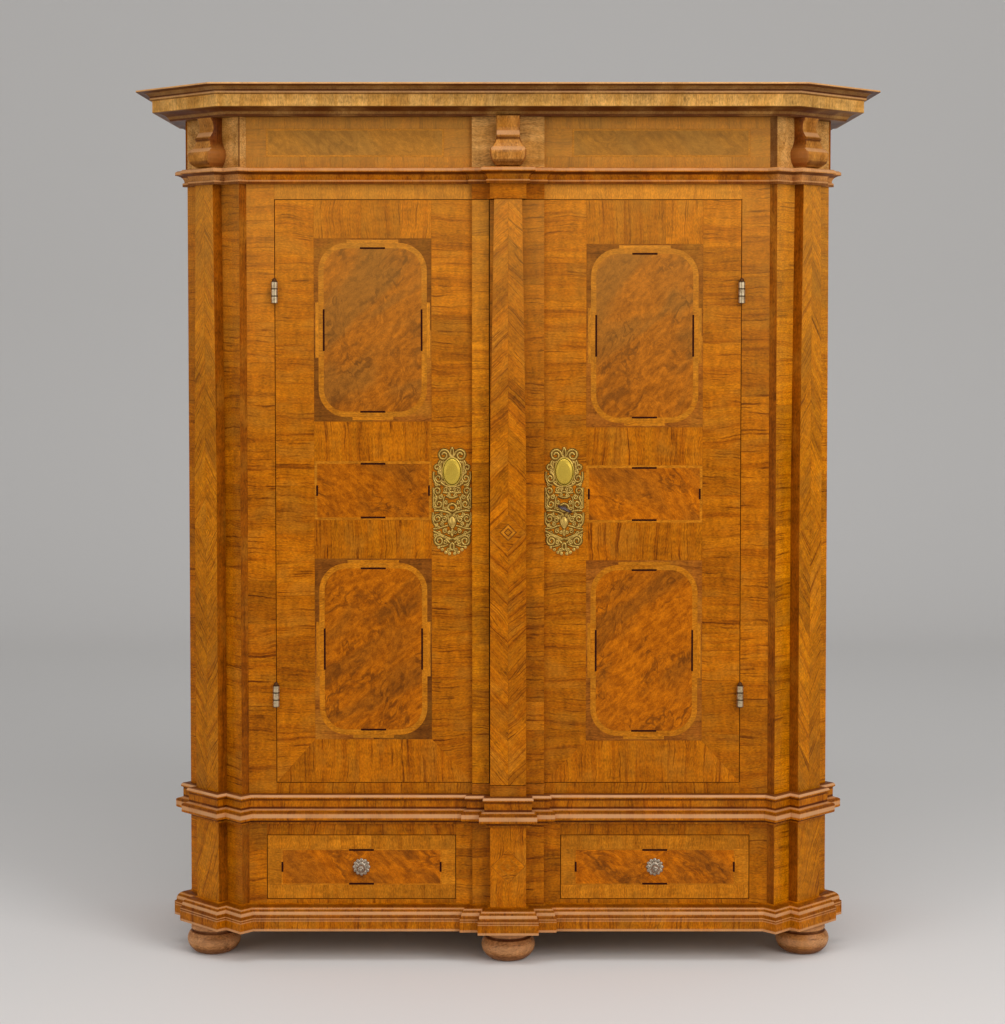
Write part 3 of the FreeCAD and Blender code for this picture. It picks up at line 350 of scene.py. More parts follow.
def burl_finish(name, colours, smoky):
    """Figured veneer: fine swirling grain that drifts between orange and a smoky grey brown."""
    light, mid, dark, smoke = colours
    finish = Finish(name, coat=0.04)
    along, across, tone = leaf_inputs(finish)
    slant = along * 0.66 - across * 0.75
    athwart = across * 0.66 + along * 0.75
    swirl = finish.noise(finish.vector(along * 8.0, across * 12.0), detail=3.0, distortion=1.4)
    curl = finish.noise(finish.vector(slant * 36.0, athwart * 85.0, swirl * 8.0), detail=5.0, roughness=0.7)
    drift = finish.noise(finish.vector(slant * 4.0, athwart * 11.0, 4.0), detail=3.0, distortion=0.6)
    veins = finish.noise(finish.vector(slant * 6.0, athwart * 17.0, swirl * 3.0), detail=3.0, roughness=0.5)
    breaks = finish.noise(finish.vector(slant * 9.0, athwart * 14.0, 9.0), detail=2.0)
    fibre = finish.noise(finish.vector(slant * 260.0, athwart * 700.0, swirl * 30.0), detail=3.0)
    colour = finish.mix(curl.between(0.3, 0.7), mid, light)
    colour = finish.mix(drift.between(0.42, 0.62) * smoky, colour, smoke)
    vein = abs(veins - 0.52).between(0.045, 0.0) * breaks.between(0.42, 0.6)
    colour = finish.mix(vein * 0.6, colour, dark)
    colour = finish.mix(veins.between(0.54, 0.72) * 0.6, colour, dark)
    shade = (fibre - 0.5) * 1.1 + (curl - 0.5) * 1.3 + 0.99
    colour = shaded(finish, colour, shade * ((tone - 0.5) * 0.25 + 1.0))
    keep_varnished(name, finish, fade_and_sheen_top(finish, colour), fibre)


def lines_at_levels(finish, colour, lines):
    """Lines at given levels: painted shade in the quirks of a moulding and painted highlights on its rolls,
    or dark lines on a hinge; each has level, half height, colour and strength.
    """
    height = finish.axes(finish.place())[2]
    patches = finish.noise(finish.place(), scale=14.0, detail=3.0).between(0.2, 0.6) * 0.35 + 0.65
    for level, half, tint, strength in lines:
        share = abs(height - level).between(half, half * 0.45) * patches * strength
        colour = finish.mix(share, colour, tint)
    return colour


def solid_finish(name, colours, grain, streaks=0.5, pitch=55.0, blocks=0.0, lines=(), pale_share=0.0):
    """Wood of a whole piece with its grain along one axis; blocks gives the length of cross-cut leaves.

    The pale share says how far the two ends are made paler; lines are painted highlights and painted shade at
    given levels.
    """
    finish = Finish(name, coat=0.06)
    x, y, z = finish.axes(finish.place())
    along, across, depth = {"x": (x, z, y), "z": (z, x, y)}[grain]
    tone = 1.0
    if blocks:
        hashed = finish.chance(((x + y * 0.6) / blocks).math("FLOOR"))
        tone = hashed * 0.24 + 0.88
        along = along + hashed * 9.0
    colour, shade, fibre = wood_colour(finish, along, across, depth, colours, streaks, pitch)
    if pale_share:
        colour = finish.mix(abs(x).between(0.57, 0.62) * pale_share, colour, linear(190, 140, 86))
    keep_varnished(name, finish, lines_at_levels(finish, shaded(finish, colour, shade * tone), lines), fibre)


def board_finish(name, colours):
    """Boards with walnut on the faces that show at the front and the sides and bare softwood elsewhere."""
    finish = Finish(name)
    x, y, z = finish.axes(finish.place())
    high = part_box("base_walls")[1]
    outside = abs(x).between(high.x - 0.0160, high.x - 0.0155)
    front = y.between(FRONT_Y + 0.0260, FRONT_Y + 0.0255)
    side_colour, side_shade, fibre = wood_colour(finish, y, z, x, colours, 0.5, 45.0)
    front_colour, front_shade, unused = wood_colour(finish, x, z, y, colours, 0.5, 45.0)
    colour = finish.mix(outside, bare_colour(finish, x, z, y), shaded(finish, side_colour, side_shade))
    colour = finish.mix(front, colour, shaded(finish, front_colour, front_shade))
    keep_varnished(name, finish, colour, fibre)


def block_finish(name, colours):
    """Blocks of the frieze: pale faces, with painted shade on the narrow returns beside the front boards and
    a painted shadow along one arris.
    """
    finish = Finish(name)
    x, y, z = finish.axes(finish.place())
    colour, shade, fibre = wood_colour(finish, x, z, y, colours, 0.5, 50.0)
    outside = FRAME_X + CANT_STEP * math.sqrt(0.5)
    shaded_return = x.between(FRAME_X - 0.3, FRAME_X - 0.29) * x.between(outside, outside - 0.0005)
    arris_shadow = abs(x + outside).between(0.003, 0.0012)
    # Painted shade on the returns and painted shadow along the arris
    colour = finish.mix(shaded_return * 0.75 + arris_shadow * 0.7, shaded(finish, colour, shade), linear(84, 38, 8))
    keep_varnished(name, finish, colour, fibre)


def side_finish(name, colours):
    """Side of the case: upright grain in stiles and panels, level grain in the rails."""
    finish = Finish(name, coat=0.06)
    x, y, z = finish.axes(finish.place())
    low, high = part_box("side_frame_left")
    middle = (low.z + high.z) / 2
    rail = 0.1
    stile = 0.08
    half = (high.y - low.y) / 2
    inside = abs(y - (low.y + half)).between(half - stile, half - stile - 0.0005)
    lower = z.between(low.z + rail, low.z + rail - 0.0005)
    upper = z.between(high.z - rail, high.z - rail + 0.0005)
    centre = abs(z - middle).between(rail / 2 + 0.0005, rail / 2)
    rails = inside * (lower + upper + centre)
    upright, upright_shade, fibre = wood_colour(finish, z, y, x, colours, 0.5, 45.0)
    level, level_shade, unused = wood_colour(finish, y + 5.0, z, x, colours, 0.5, 45.0)
    colour = finish.mix(rails, shaded(finish, upright, upright_shade), shaded(finish, level, level_shade))
    keep_varnished(name, finish, colour, fibre)


def bare_colour(finish, along, across, depth):
    """Colour of unvarnished softwood, darkened by age and dust."""
    sway = finish.noise(finish.vector(along * 1.6, across * 5.0, depth * 5.0), detail=2.0)
    across = across + (sway - 0.5) * 0.08
    rings = finish.noise(finish.vector(along * 0.7, across * 55.0, depth * 55.0), detail=3.0, roughness=0.6)
    dirt = finish.noise(finish.place(), scale=5.0, detail=4.0)
    fibre = finish.noise(finish.vector(along * 30.0, across * 900.0, depth * 900.0), detail=2.0)
    colour = finish.mix(rings.between(0.3, 0.75), linear(182, 144, 94), linear(158, 112, 66))
    colour = finish.mix(dirt.between(0.45, 0.75) * 0.35, colour, linear(116, 88, 58))
    return shaded(finish, colour, (fibre - 0.5) * 0.25 + 1.0)


def pine_finish(name, grain, board=None):
    """Plain softwood of the inside and the back; board gives the width of upright boards side by side."""
    finish = Finish(name, roughness=0.75)
    x, y, z = finish.axes(finish.place())
    along, across, depth = {"x": (x, y, z), "y": (y, x, z), "z": (z, x, y)}[grain]
    if board is None:
        colour = bare_colour(finish, along, across, depth)
    else:
        hashed = finish.chance((x / board).math("FLOOR"))
        colour = bare_colour(finish, along + hashed * 7.0, across + hashed * 3.0, depth)
        colour = shaded(finish, colour, hashed * 0.22 + 0.86)
        joint = abs((x / board).math("FRACT") - 0.5).between(0.4935, 0.4965)
        colour = finish.mix(joint * 0.8, colour, linear(52, 34, 20))
    finish.wire_to("Base Color", colour)
    keep(name, finish)


def metal_finish(name, colour, stain, roughness, stain_share, scale=90.0, metallic=0.9, lines=()):
    """Old metal: bright where it is touched, stained in the hollows."""
    finish = Finish(name, roughness=roughness, metallic=metallic)
    cloud = finish.noise(finish.place(), scale=scale, detail=4.0, roughness=0.6)
    grains = finish.noise(finish.place(), scale=scale * 9.0, detail=2.0)
    stained = finish.mix(cloud.between(0.42, 0.7) * stain_share, colour, stain)
    finish.wire_to("Base Color", lines_at_levels(finish, stained, lines))
    finish.wire_to("Roughness", cloud * 0.25 + (roughness - 0.1))
    finish.bump(grains, 0.15, 0.0003)
    keep(name, finish)


# Painted highlights and painted shade along a moulding from its bottom up: share of its height, half width as
# a share, pale (painted highlight) or dark (painted shade), strength
MOULDING_HIGHLIGHTS_AND_SHADE = {
    "plinth_moulding": (
        (0.03, 0.08, "pale", 0.7), (0.41, 0.03, "pale", 0.4), (0.456, 0.03, "dark", 0.5),
        (0.5, 0.03, "pale", 0.5), (0.57, 0.05, "dark", 0.6), (0.7, 0.08, "pale", 0.8),
        (0.8, 0.04, "dark", 0.5), (0.87, 0.03, "pale", 0.5), (0.94, 0.05, "dark", 0.7),
    ),
    "waist_moulding": (
        (0.1, 0.06, "dark", 0.95), (0.31, 0.09, "pale", 0.8), (0.43, 0.05, "dark", 0.6),
        (0.505, 0.03, "pale", 0.5), (0.555, 0.05, "dark", 0.9), (0.82, 0.05, "dark", 0.7),
        (0.95, 0.06, "pale", 0.85), (1.0, 0.03, "dark", 0.8),
    ),
    "architrave_moulding": (
        (0.06, 0.1, "dark", 0.8), (0.2, 0.06, "pale", 0.4), (0.66, 0.12, "dark", 0.9),
        (0.88, 0.12, "pale", 0.6),
    ),
    "cornice_moulding": (
        (0.0, 0.08, "dark", 0.95), (0.1, 0.1, "dark", 0.7), (0.21, 0.09, "dark", 0.95),
        (0.685, 0.03, "dark", 0.7), (0.74, 0.04, "pale", 0.7), (0.86, 0.13, "dark", 0.7),
        (0.79, 0.03, "dark", 0.9), (0.935, 0.025, "dark", 0.9), (0.98, 0.04, "pale", 0.5),
    ),
    "consoles": (
        (0.1, 0.06, "dark", 0.6), (0.36, 0.05, "pale", 0.6), (0.57, 0.05, "dark", 0.7),
        (0.67, 0.06, "pale", 0.7),
    ),
    "front_feet": (
        (0.12, 0.14, "dark", 0.5), (0.42, 0.14, "pale", 0.3), (0.7, 0.05, "dark", 0.85),
        (0.84, 0.08, "pale", 0.4),
    ),
}


def moulding_highlights_and_shade(node):
    """The painted highlights and painted shade of one moulding as levels over the floor."""
    low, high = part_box(node)
    height = high.z - low.z
    # Dark is painted shade in the quirks and under the rolls, pale is a painted highlight on the rolls
    highlight_and_shade_tints = {"dark": linear(78, 28, 2), "pale": linear(212, 158, 110)}
    return [
        (low.z + share * height, half * height, highlight_and_shade_tints[kind], strength)
        for share, half, kind, strength in MOULDING_HIGHLIGHTS_AND_SHADE[node]
    ]


def hinge_lines():
    """Dark lines where the knuckles of a hinge meet, and at both ends of the barrel."""
    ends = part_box("frame_knuckles")
    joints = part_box("left_door_knuckles")
    knuckle = joints[0].z - ends[0].z
    lower = (ends[0].z, joints[0].z, joints[0].z + knuckle, joints[0].z + 2 * knuckle)
    upper = (ends[1].z, joints[1].z, joints[1].z - knuckle, joints[1].z - 2 * knuckle)
    return [(level, 0.0022, linear(58, 38, 22), 0.9) for level in lower + upper]


def make_finishes(context):
    """All materials of the cupboard."""
    veneers = context.scene.cupboard_veneers
    mounts = context.scene.cupboard_mounts
    walnut = (tuple(veneers.light), tuple(veneers.mid), tuple(veneers.dark))
    bright_walnut = (linear(199, 120, 4), linear(177, 98, 0), linear(108, 52, 0))
    pale = (linear(197, 120, 20), linear(178, 102, 10), linear(116, 60, 6))
    warm = (linear(168, 93, 6), linear(148, 76, 2), linear(90, 41, 2))
    brown = (linear(142, 80, 18), linear(118, 62, 10), linear(76, 36, 6))
    top = (linear(216, 163, 88), linear(200, 145, 68), linear(146, 92, 38))
    turned = (linear(194, 136, 86), linear(166, 110, 64), linear(104, 62, 30))
    carved = (linear(186, 124, 54), linear(160, 98, 32), linear(104, 56, 14))
    smoky = (linear(170, 94, 10), linear(146, 76, 4), linear(78, 38, 8), linear(130, 80, 24))
    golden = (linear(188, 103, 4), linear(164, 83, 0), linear(78, 38, 6), linear(118, 68, 14))
    greyed = (linear(170, 106, 24), linear(152, 90, 16), linear(108, 60, 14), linear(146, 98, 36))
    veneer_finish("crossband", walnut, 0.95, 62.0, pale_share=0.2)
    veneer_finish("chevron", walnut, 1.0, 80.0, spread=0.4)
    # A lighter copy of the walnut; on the left meeting strip and on the right pier's strips it stands for
    # painted light
    veneer_finish("bright_band", bright_walnut, 1.0, 80.0, spread=0.4)
    veneer_finish("stile_band", walnut, 1.0, 46.0, spread=0.4)
    veneer_finish("frieze_band", walnut, 0.9, 62.0, pale_share=0.45)
    veneer_finish("strap", pale, 0.5, 80.0, spread=0.3)
    veneer_finish("spandrel", brown, 0.6, 70.0, spread=1.1, pale_share=0.12)
    burl_finish("burl", smoky, 0.65)
    burl_finish("burl_gold", golden, 0.5)
    burl_finish("burl_dark", greyed, 0.5)
    ebony = Finish("ebony", roughness=0.4)
    ebony.wire_to("Base Color", tuple(veneers.ebony))
    keep("ebony", ebony)
    solid_finish("walnut_upright", (linear(148, 79, 4), linear(128, 63, 2), linear(78, 35, 2)), "z")
    solid_finish("walnut_level", warm, "x")
    # Mouldings, consoles and feet carry painted highlights and painted shade in lines along their profiles
    solid_finish("plinth", walnut, "z", 0.7, 60.0, blocks=0.085, lines=moulding_highlights_and_shade("plinth_moulding"))
    solid_finish("waist", walnut, "z", 0.7, 60.0, blocks=0.085, lines=moulding_highlights_and_shade("waist_moulding"))
    architrave_highlights_and_shade = moulding_highlights_and_shade("architrave_moulding")
    solid_finish("architrave", walnut, "z", 0.6, 60.0, blocks=0.085, lines=architrave_highlights_and_shade, pale_share=0.5)
    solid_finish("cornice", top, "z", 0.45, 55.0, blocks=0.11, lines=moulding_highlights_and_shade("cornice_moulding"))
    solid_finish("console", carved, "z", 0.6, 50.0, lines=moulding_highlights_and_shade("consoles"))
    # Sides of the consoles: a darker copy of the wood as painted shade, with a painted highlight along the
    # lower roll
    low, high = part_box("consoles")
    cushion_highlight = [(low.z + 0.2 * (high.z - low.z), 0.34 * (high.z - low.z), linear(170, 106, 46), 0.6)]
    shadowed = (linear(128, 66, 16), linear(106, 50, 10), linear(66, 28, 6))
    solid_finish("console_shaded_side", shadowed, "z", lines=cushion_highlight)
    block_finish("frieze_block", (linear(206, 152, 84), linear(184, 128, 62), linear(128, 78, 30)))
    solid_finish("foot", turned, "x", 0.8, 50.0, lines=moulding_highlights_and_shade("front_feet"))
    board_finish("case_boards", warm)
    side_finish("walnut_side", warm)
    pine_finish("pine_level", "x")
    pine_finish("pine_deep", "y")
    low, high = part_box("back_boards")
    pine_finish("pine_upright", "z", board=(high.x - low.x) / 4)
    metal_finish("brass", tuple(mounts.brass), linear(126, 92, 34), 0.36, 0.6, metallic=0.7)
    metal_finish("brass_ground", linear(122, 88, 30), linear(74, 46, 14), 0.5, 0.7, metallic=0.5)
    boss = (linear(206, 172, 66), linear(176, 140, 46))
    metal_finish("boss_brass", *boss, 0.34, 0.4, scale=40.0, metallic=0.6)
    bright = tuple(mounts.iron)
    metal_finish("hinge_metal", bright, linear(116, 90, 60), 0.4, 0.7, scale=120.0, lines=hinge_lines())
    metal_finish("pewter", linear(176, 160, 140), linear(86, 72, 58), 0.36, 0.6, scale=150.0)
    metal_finish("pin_iron", linear(84, 52, 28), linear(52, 30, 16), 0.5, 0.7, scale=110.0, metallic=0.4)
    metal_finish("iron", linear(96, 88, 90), linear(58, 44, 38), 0.45, 0.7, scale=110.0)


NODE_FINISHES = {
    "walnut_upright": (
        "corner_pier_left", "corner_pier_right", "corner_pilaster_left", "corner_pilaster_right",
        "base_piers", "base_pilasters", "front_stiles", "centre_pilaster",
    ),
    "frieze_block": ("frieze_blocks",),
    "walnut_level": (
        "drawer_frame", "sill_rail", "head_rail", "centre_blocks", "left_drawer_front",
        "right_drawer_front", "left_meeting_strip", "right_meeting_plate", "left_door_leaf",
        "right_door_leaf",
    ),
    "case_boards": ("base_walls", "frieze_boards"),
    "plinth": ("plinth_moulding",),
    "waist": ("waist_moulding",),
    "architrave": ("architrave_moulding",),
    "cornice": ("cornice_moulding",),
    "console": ("consoles",),
    "foot": ("front_feet", "rear_feet"),
    "walnut_side": ("side_frame_left", "side_frame_right"),
    "pine_level": (
        "base_floor_board", "base_top_board", "case_sub_frame", "case_floor_board",
        "case_top_board", "shelves", "door_stops", "dust_board",
    ),
    "pine_deep": (
        "drawer_runners", "drawer_partition", "shelf_battens", "left_drawer_box", "right_drawer_box",
    ),
    "pine_upright": ("back_boards",),
    "brass": ("left_brass_plate", "right_brass_plate"),
    "hinge_metal": ("frame_knuckles", "left_door_knuckles", "right_door_knuckles"),
    "pin_iron": ("hinge_pins",),
    "pewter": ("left_drawer_knob", "right_drawer_knob"),
    "iron": (
        "key", "lock_case", "lock_bolt", "lock_keeper", "bolt_guides", "upper_shoot_bolt", "lower_shoot_bolt",
    ),
}


def finish_nodes():
    """Gives every CAD node its material, in the slots it already has."""
    for name, members in NODE_FINISHES.items():
        for member in members:
            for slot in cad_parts[member].material_slots:
                slot.material = FINISHES[name]


def of_kind(made, kind, key="geom"):
    """The vertices, edges or faces among what a mesh operator made."""
    return [item for item in made[key] if isinstance(item, kind)]


def finished(name, mesh, materials):
    """Turns a mesh under construction into an object with these materials."""
    data = bpy.data.meshes.new(name)
    mesh.to_mesh(data)
    mesh.free()
    for material in materials:
        data.materials.append(material)
    item = bpy.data.objects.new(name, data)
    bpy.context.collection.objects.link(item)
    return item


def span(side, near, far):
    """Low and high X of something between two distances from the middle, left or right."""
    return (near, far) if side > 0 else (-far, -near)


def mitre(start, end, keep_point):
    """Cut along the line from start to end that leaves the side of one point."""
    first = Vector(start)
    along = Vector(end) - first
    normal = Vector((along.y, -along.x))
    if normal.dot(Vector(keep_point) - first) > 0:
        normal = -normal
    return first, normal


class Inlay:
    """Thin veneer leaves laid on a flat ground, drawn as seen from the front."""

    WOODS = (
        "crossband", "chevron", "bright_band", "stile_band", "frieze_band", "strap", "spandrel", "burl",
        "burl_gold", "burl_dark", "ebony",
    )
    EBONY_HALF = 0.0023

    def __init__(self, settings, seed):
        self.thickness = settings.thickness
        self.joint = settings.joint
        self.strap_width = settings.band_width
        self.corner_radius = settings.corner_radius
        self.dice = random.Random(seed)
        self.mesh = bmesh.new()
        self.layers(self.mesh)

    def layers(self, mesh):
        """The two things the materials read from a leaf."""
        return mesh.loops.layers.uv.new("grain"), mesh.faces.layers.float.new("tone")

    def leaf(self, x, z, wood, angle=0.0, layer=1, radius=0.0, trims=(), turn=0.0, tone=None):
        """One leaf between two lines each way, with round corners, cuts or a turn about its middle."""
        width = x[1] - x[0] - self.joint
        height = z[1] - z[0] - self.joint
        if width <= 0 or height <= 0:
            return
        piece = bmesh.new()
        grain, shade = self.layers(piece)
        bmesh.ops.create_grid(piece, x_segments=1, y_segments=1, size=0.5)
        bmesh.ops.scale(piece, verts=piece.verts, vec=(width, height, 1))
        bmesh.ops.rotate(piece, verts=piece.verts, matrix=Matrix.Rotation(turn, 3, "Z"))
        bmesh.ops.translate(piece, verts=piece.verts, vec=((x[0] + x[1]) / 2, (z[0] + z[1]) / 2, 0))
        if radius:
            bmesh.ops.bevel(
                piece, geom=piece.verts[:], offset=radius, segments=10, profile=0.5, affect="VERTICES",
                material=-1,
            )
        for point, normal in trims:
            bmesh.ops.bisect_plane(
                piece, geom=piece.verts[:] + piece.edges[:] + piece.faces[:], plane_co=point.to_3d(),
                plane_no=normal.to_3d(), clear_outer=True,
            )
        if not piece.faces:
            piece.free()
            return
        raised = bmesh.ops.extrude_face_region(piece, geom=piece.faces[:])
        lift = self.thickness * (1 + 0.3 * (layer - 1))
        bmesh.ops.translate(piece, verts=of_kind(raised, bmesh.types.BMVert), vec=(0, 0, lift))
        bmesh.ops.recalc_face_normals(piece, faces=piece.faces)
        angle = angle + self.dice.uniform(-0.05, 0.05)
        offset = Vector((self.dice.uniform(0, 40), self.dice.uniform(0, 40)))
        tone = self.dice.random() if tone is None else tone
        for face in piece.faces:
            face.material_index = self.WOODS.index(wood)
            face[shade] = tone
            for loop in face.loops:
                flat = Vector((loop.vert.co.x, loop.vert.co.y))
                flat.rotate(Matrix.Rotation(-angle, 2))
                loop[grain].uv = flat + offset
        data = bpy.data.meshes.new("leaf")
        piece.to_mesh(data)
        piece.free()
        self.mesh.from_mesh(data)
        bpy.data.meshes.remove(data)

    def band(self, x, z, wood, upright, pitch, trims=()):
        """Row of cross-grained leaves: side by side with upright grain, or one above the other."""
        low, high = x if upright else z
        count = max(1, round((high - low) / pitch))
        step = (high - low) / count
        cuts = [low + step * (number + self.dice.uniform(-0.22, 0.22)) for number in range(1, count)]
        cuts = [low, *cuts, high]
        angle = math.pi / 2 if upright else 0.0
        for pair in zip(cuts, cuts[1:]):
            self.leaf(pair if upright else x, z if upright else pair, wood, angle, trims=trims)

    def line(self, middle, length, upright, layer=5):
        """Short ebony line."""
        half = (self.EBONY_HALF, length / 2) if upright else (length / 2, self.EBONY_HALF)
        x = (middle[0] - half[0], middle[0] + half[0])
        z = (middle[1] - half[1], middle[1] + half[1])
        self.leaf(x, z, "ebony", 0.0, layer)

    def strap_panel(self, x, z, field, corners):
        """Door panel: dark corners, a light strap with stepped tabs, a figured field and ebony lines."""
        inset = 0.010
        tab = 0.003
        lower_half, upper_half, side_half = 0.046, 0.058, 0.062
        level_line, upright_line = 0.057, 0.094
        width = self.strap_width
        middle = ((x[0] + x[1]) / 2, (z[0] + z[1]) / 2)
        halves = ((x[0], middle[0]), (middle[0], x[1]))
        levels = ((z[0], middle[1]), (middle[1], z[1]))
        for (half, level), tone in zip(itertools.product(halves, levels), corners):
            self.leaf(half, level, "spandrel", 0.0, 1, tone=tone)
        outer_x = (x[0] + inset, x[1] - inset)
        outer_z = (z[0] + inset, z[1] - inset)
        radius = self.corner_radius
        self.leaf(outer_x, outer_z, "strap", 0.0, 2, radius=radius + width)
        reach = inset - tab + width
        for side, half in ((-1, lower_half), (1, upper_half)):
            edge = z[0] + tab if side < 0 else z[1] - tab - reach
            self.leaf((middle[0] - half, middle[0] + half), (edge, edge + reach), "strap", 0.0, 1.5)
        for side in (-1, 1):
            edge = x[0] + tab if side < 0 else x[1] - tab - reach
            tall = (middle[1] - side_half, middle[1] + side_half)
            self.leaf((edge, edge + reach), tall, "strap", math.pi / 2, 1.5)
        inner_x = (outer_x[0] + width, outer_x[1] - width)
        inner_z = (outer_z[0] + width, outer_z[1] - width)
        self.leaf(inner_x, inner_z, field, math.pi / 2, 3, radius=radius)
        for edge in inner_z:
            self.line((middle[0], edge), level_line, False)
        for edge in inner_x:
            self.line((edge, middle[1]), upright_line, True)

    def plain_panel(self, x, z, field, border, lines=None, tone=None):
        """Figured field in a narrow light border, mostly with an ebony line in the middle of each side."""
        self.leaf(x, z, "strap", 0.0, 1)
        self.leaf((x[0] + border, x[1] - border), (z[0] + border, z[1] - border), field, 0.0, 2, tone=tone)
        if lines is None:
            return
        middle = ((x[0] + x[1]) / 2, (z[0] + z[1]) / 2)
        for edge in (z[0] + border, z[1] - border):
            self.line((middle[0], edge), lines[0], False)
        for edge in (x[0] + border, x[1] - border):
            self.line((edge, middle[1]), lines[1], True)

    def chevrons(self, half, z, pitch, slope, rising, wood, trims=()):
        """Two mirrored rows of slanting leaves that meet in the middle, pointing up or down."""
        drop = half * math.tan(slope) * (-1 if rising else 1)
        levels = []
        level = z[0] - abs(drop)
        while level < z[1] + abs(drop):
            levels.append(level)
            level += pitch * self.dice.uniform(0.8, 1.2)
        levels.append(level)
        for low, high in zip(levels, levels[1:]):
            for side in (-1, 1):
                x = span(side, 0.0, half)
                bounds = (max(z[0], low - abs(drop)), min(z[1], high + abs(drop)))
                centre = (side * half / 2, (low + high - drop) / 2)
                lower = mitre((0, low), (side * half, low - drop), centre)
                upper = mitre((0, high), (side * half, high - drop), centre)
                angle = -side * slope * (-1 if rising else 1)
                if bounds[0] < bounds[1]:
                    self.leaf(x, bounds, wood, angle, 1, trims=(lower, upper, *trims))

    def diamonds(self, middle, rings):
        """Squares on their points, one inside the other."""
        for layer, (size, wood) in enumerate(rings, start=2):
            half = size / 2
            x = (middle[0] - half, middle[0] + half)
            z = (middle[1] - half, middle[1] + half)
            self.leaf(x, z, wood, 0.0, layer, turn=math.pi / 4)

    def lay(self, name, body, place, turn=0.0):
        """Stands the leaves upright on their ground, facing the front, and hands them to a body."""
        upright = Matrix.Rotation(math.pi / 2, 4, "X")
        matrix = Matrix.Translation(place) @ Matrix.Rotation(turn, 4, "Z") @ upright
        bmesh.ops.transform(self.mesh, matrix=matrix, verts=self.mesh.verts)
        item = finished(name, self.mesh, [FINISHES[wood] for wood in self.WOODS])
        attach(item, body)
        return item


# Panels of each door: span across, levels and how light the corners of the large panels are
DOORS = {
    -1: {
        "panel": (0.172, 0.4355), "upper": (1.2225, 1.633), "middle": (1.0005, 1.1335),
        "lower": (0.504, 0.9135),
        "upper_corners": (0.25, 0.6, 0.85, 0.3), "lower_corners": (0.85, 0.4, 0.2, 0.4),
    },
    1: {
        "panel": (0.1755, 0.437), "upper": (1.2095, 1.6205), "middle": (0.9945, 1.124),
        "lower": (0.501, 0.9095),
        "upper_corners": (0.8, 0.45, 0.8, 0.5), "lower_corners": (0.7, 0.8, 0.75, 0.85),
    },
}


def cant(side):
    """Middle of a canted corner's face at floor level and how far it is turned from the front."""
    diagonal = math.sqrt(0.5)
    step = CANT_STEP * diagonal
    run = CANT_WIDTH * diagonal
    return Vector((side * (FRAME_X + step + run / 2), FRONT_Y - step + run / 2, 0)), side * math.pi / 4


def narrowing(side, half, level):
    """Line along one edge of a pilaster from its shoulder to its top, where it is narrowest."""
    return (side * half, level[0] + SHOULDER), (side * NECK, level[1])


def beside_pilaster(inlay, side, x, level, wood, pitch):
    """Cross-grained strip beside a pilaster, from its edge to an outer line; it widens where that narrows."""
    half, outer = x
    edge = narrowing(side, half, level)
    shoulder = edge[0][1]
    inlay.band(span(side, half, outer), (level[0], shoulder), wood, False, pitch)
    cut = mitre(*edge, (side * outer, level[1]))
    inlay.band(span(side, abs(edge[1][0]), outer), (shoulder, level[1]), wood, False, pitch, trims=(cut,))


class CUPBOARD_OT_door_veneers(bpy.types.Operator):
    """Lay the veneers of both doors"""

    bl_idname = "cupboard.door_veneers"
    bl_label = "Door veneers"

    def execute(self, context):
        for side, word in SIDES:
            low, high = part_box(f"{word}_door_leaf")
            outer = high.x if side > 0 else -low.x
            inner = PLATE_X
            inlay = Inlay(context.scene.cupboard_veneers, 11 + side)
            levels = DOORS[side]
            panel = levels["panel"]
            panel_x = span(side, *panel)
            foot = levels["lower"][0]
            outer_cut = ((side * panel[1], foot), (side * outer, low.z))
            inner_cut = ((side * panel[0], foot), (side * inner, low.z))
            above = (side * outer, high.z)
            beside = (side * inner, high.z)
            below = (side * panel[0], low.z)
            under = (side * panel[1], low.z)
            outer_x = span(side, panel[1], outer)
            inner_x = span(side, inner, panel[0])
            inlay.band(outer_x, (low.z, high.z), "crossband", False, 0.11, trims=(mitre(*outer_cut, above),))
            inlay.band(inner_x, (low.z, high.z), "crossband", False, 0.12, trims=(mitre(*inner_cut, beside),))
            mitres = (mitre(*outer_cut, below), mitre(*inner_cut, under))
            inlay.band(span(side, inner, outer), (low.z, foot), "crossband", True, 0.085, trims=mitres)
            inlay.band(panel_x, (levels["upper"][1], high.z), "crossband", True, 0.09)
            inlay.band(panel_x, (levels["middle"][1], levels["upper"][0]), "crossband", True, 0.066)
            inlay.band(panel_x, (levels["lower"][1], levels["middle"][0]), "crossband", True, 0.066)
            inlay.strap_panel(panel_x, levels["upper"], "burl", levels["upper_corners"])
            inlay.strap_panel(panel_x, levels["lower"], "burl_gold", levels["lower_corners"])
            inlay.plain_panel(panel_x, levels["middle"], "burl_gold", 0.006, (0.056, 0.024))
            inlay.lay(f"{word}_door_veneer", f"{word}_door", (0, FRONT_Y, 0))
        self.strips(context)
        return {"FINISHED"}

    def strips(self, context):
        """Cross-grained strips on both sides of the centre pilaster."""
        settings = context.scene.cupboard_veneers
        low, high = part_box("right_meeting_plate")
        level = (low.z, high.z)
        inlay = Inlay(settings, 22)
        beside_pilaster(inlay, 1, (PILASTER_X, high.x), level, "stile_band", 0.1)
        beside_pilaster(inlay, -1, (PILASTER_X, -low.x), level, "stile_band", 0.1)
        inlay.lay("right_strip_veneer", "right_door", (0, PLATE_Y, 0))
        low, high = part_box("left_meeting_strip")
        inlay = Inlay(settings, 20)
        # The lighter band is painted light on this strip, which lies in the pilaster's shade
        inlay.band((low.x, high.x), level, "bright_band", False, 0.1)
        inlay.lay("left_strip_veneer", "left_door", (0, low.y, 0))


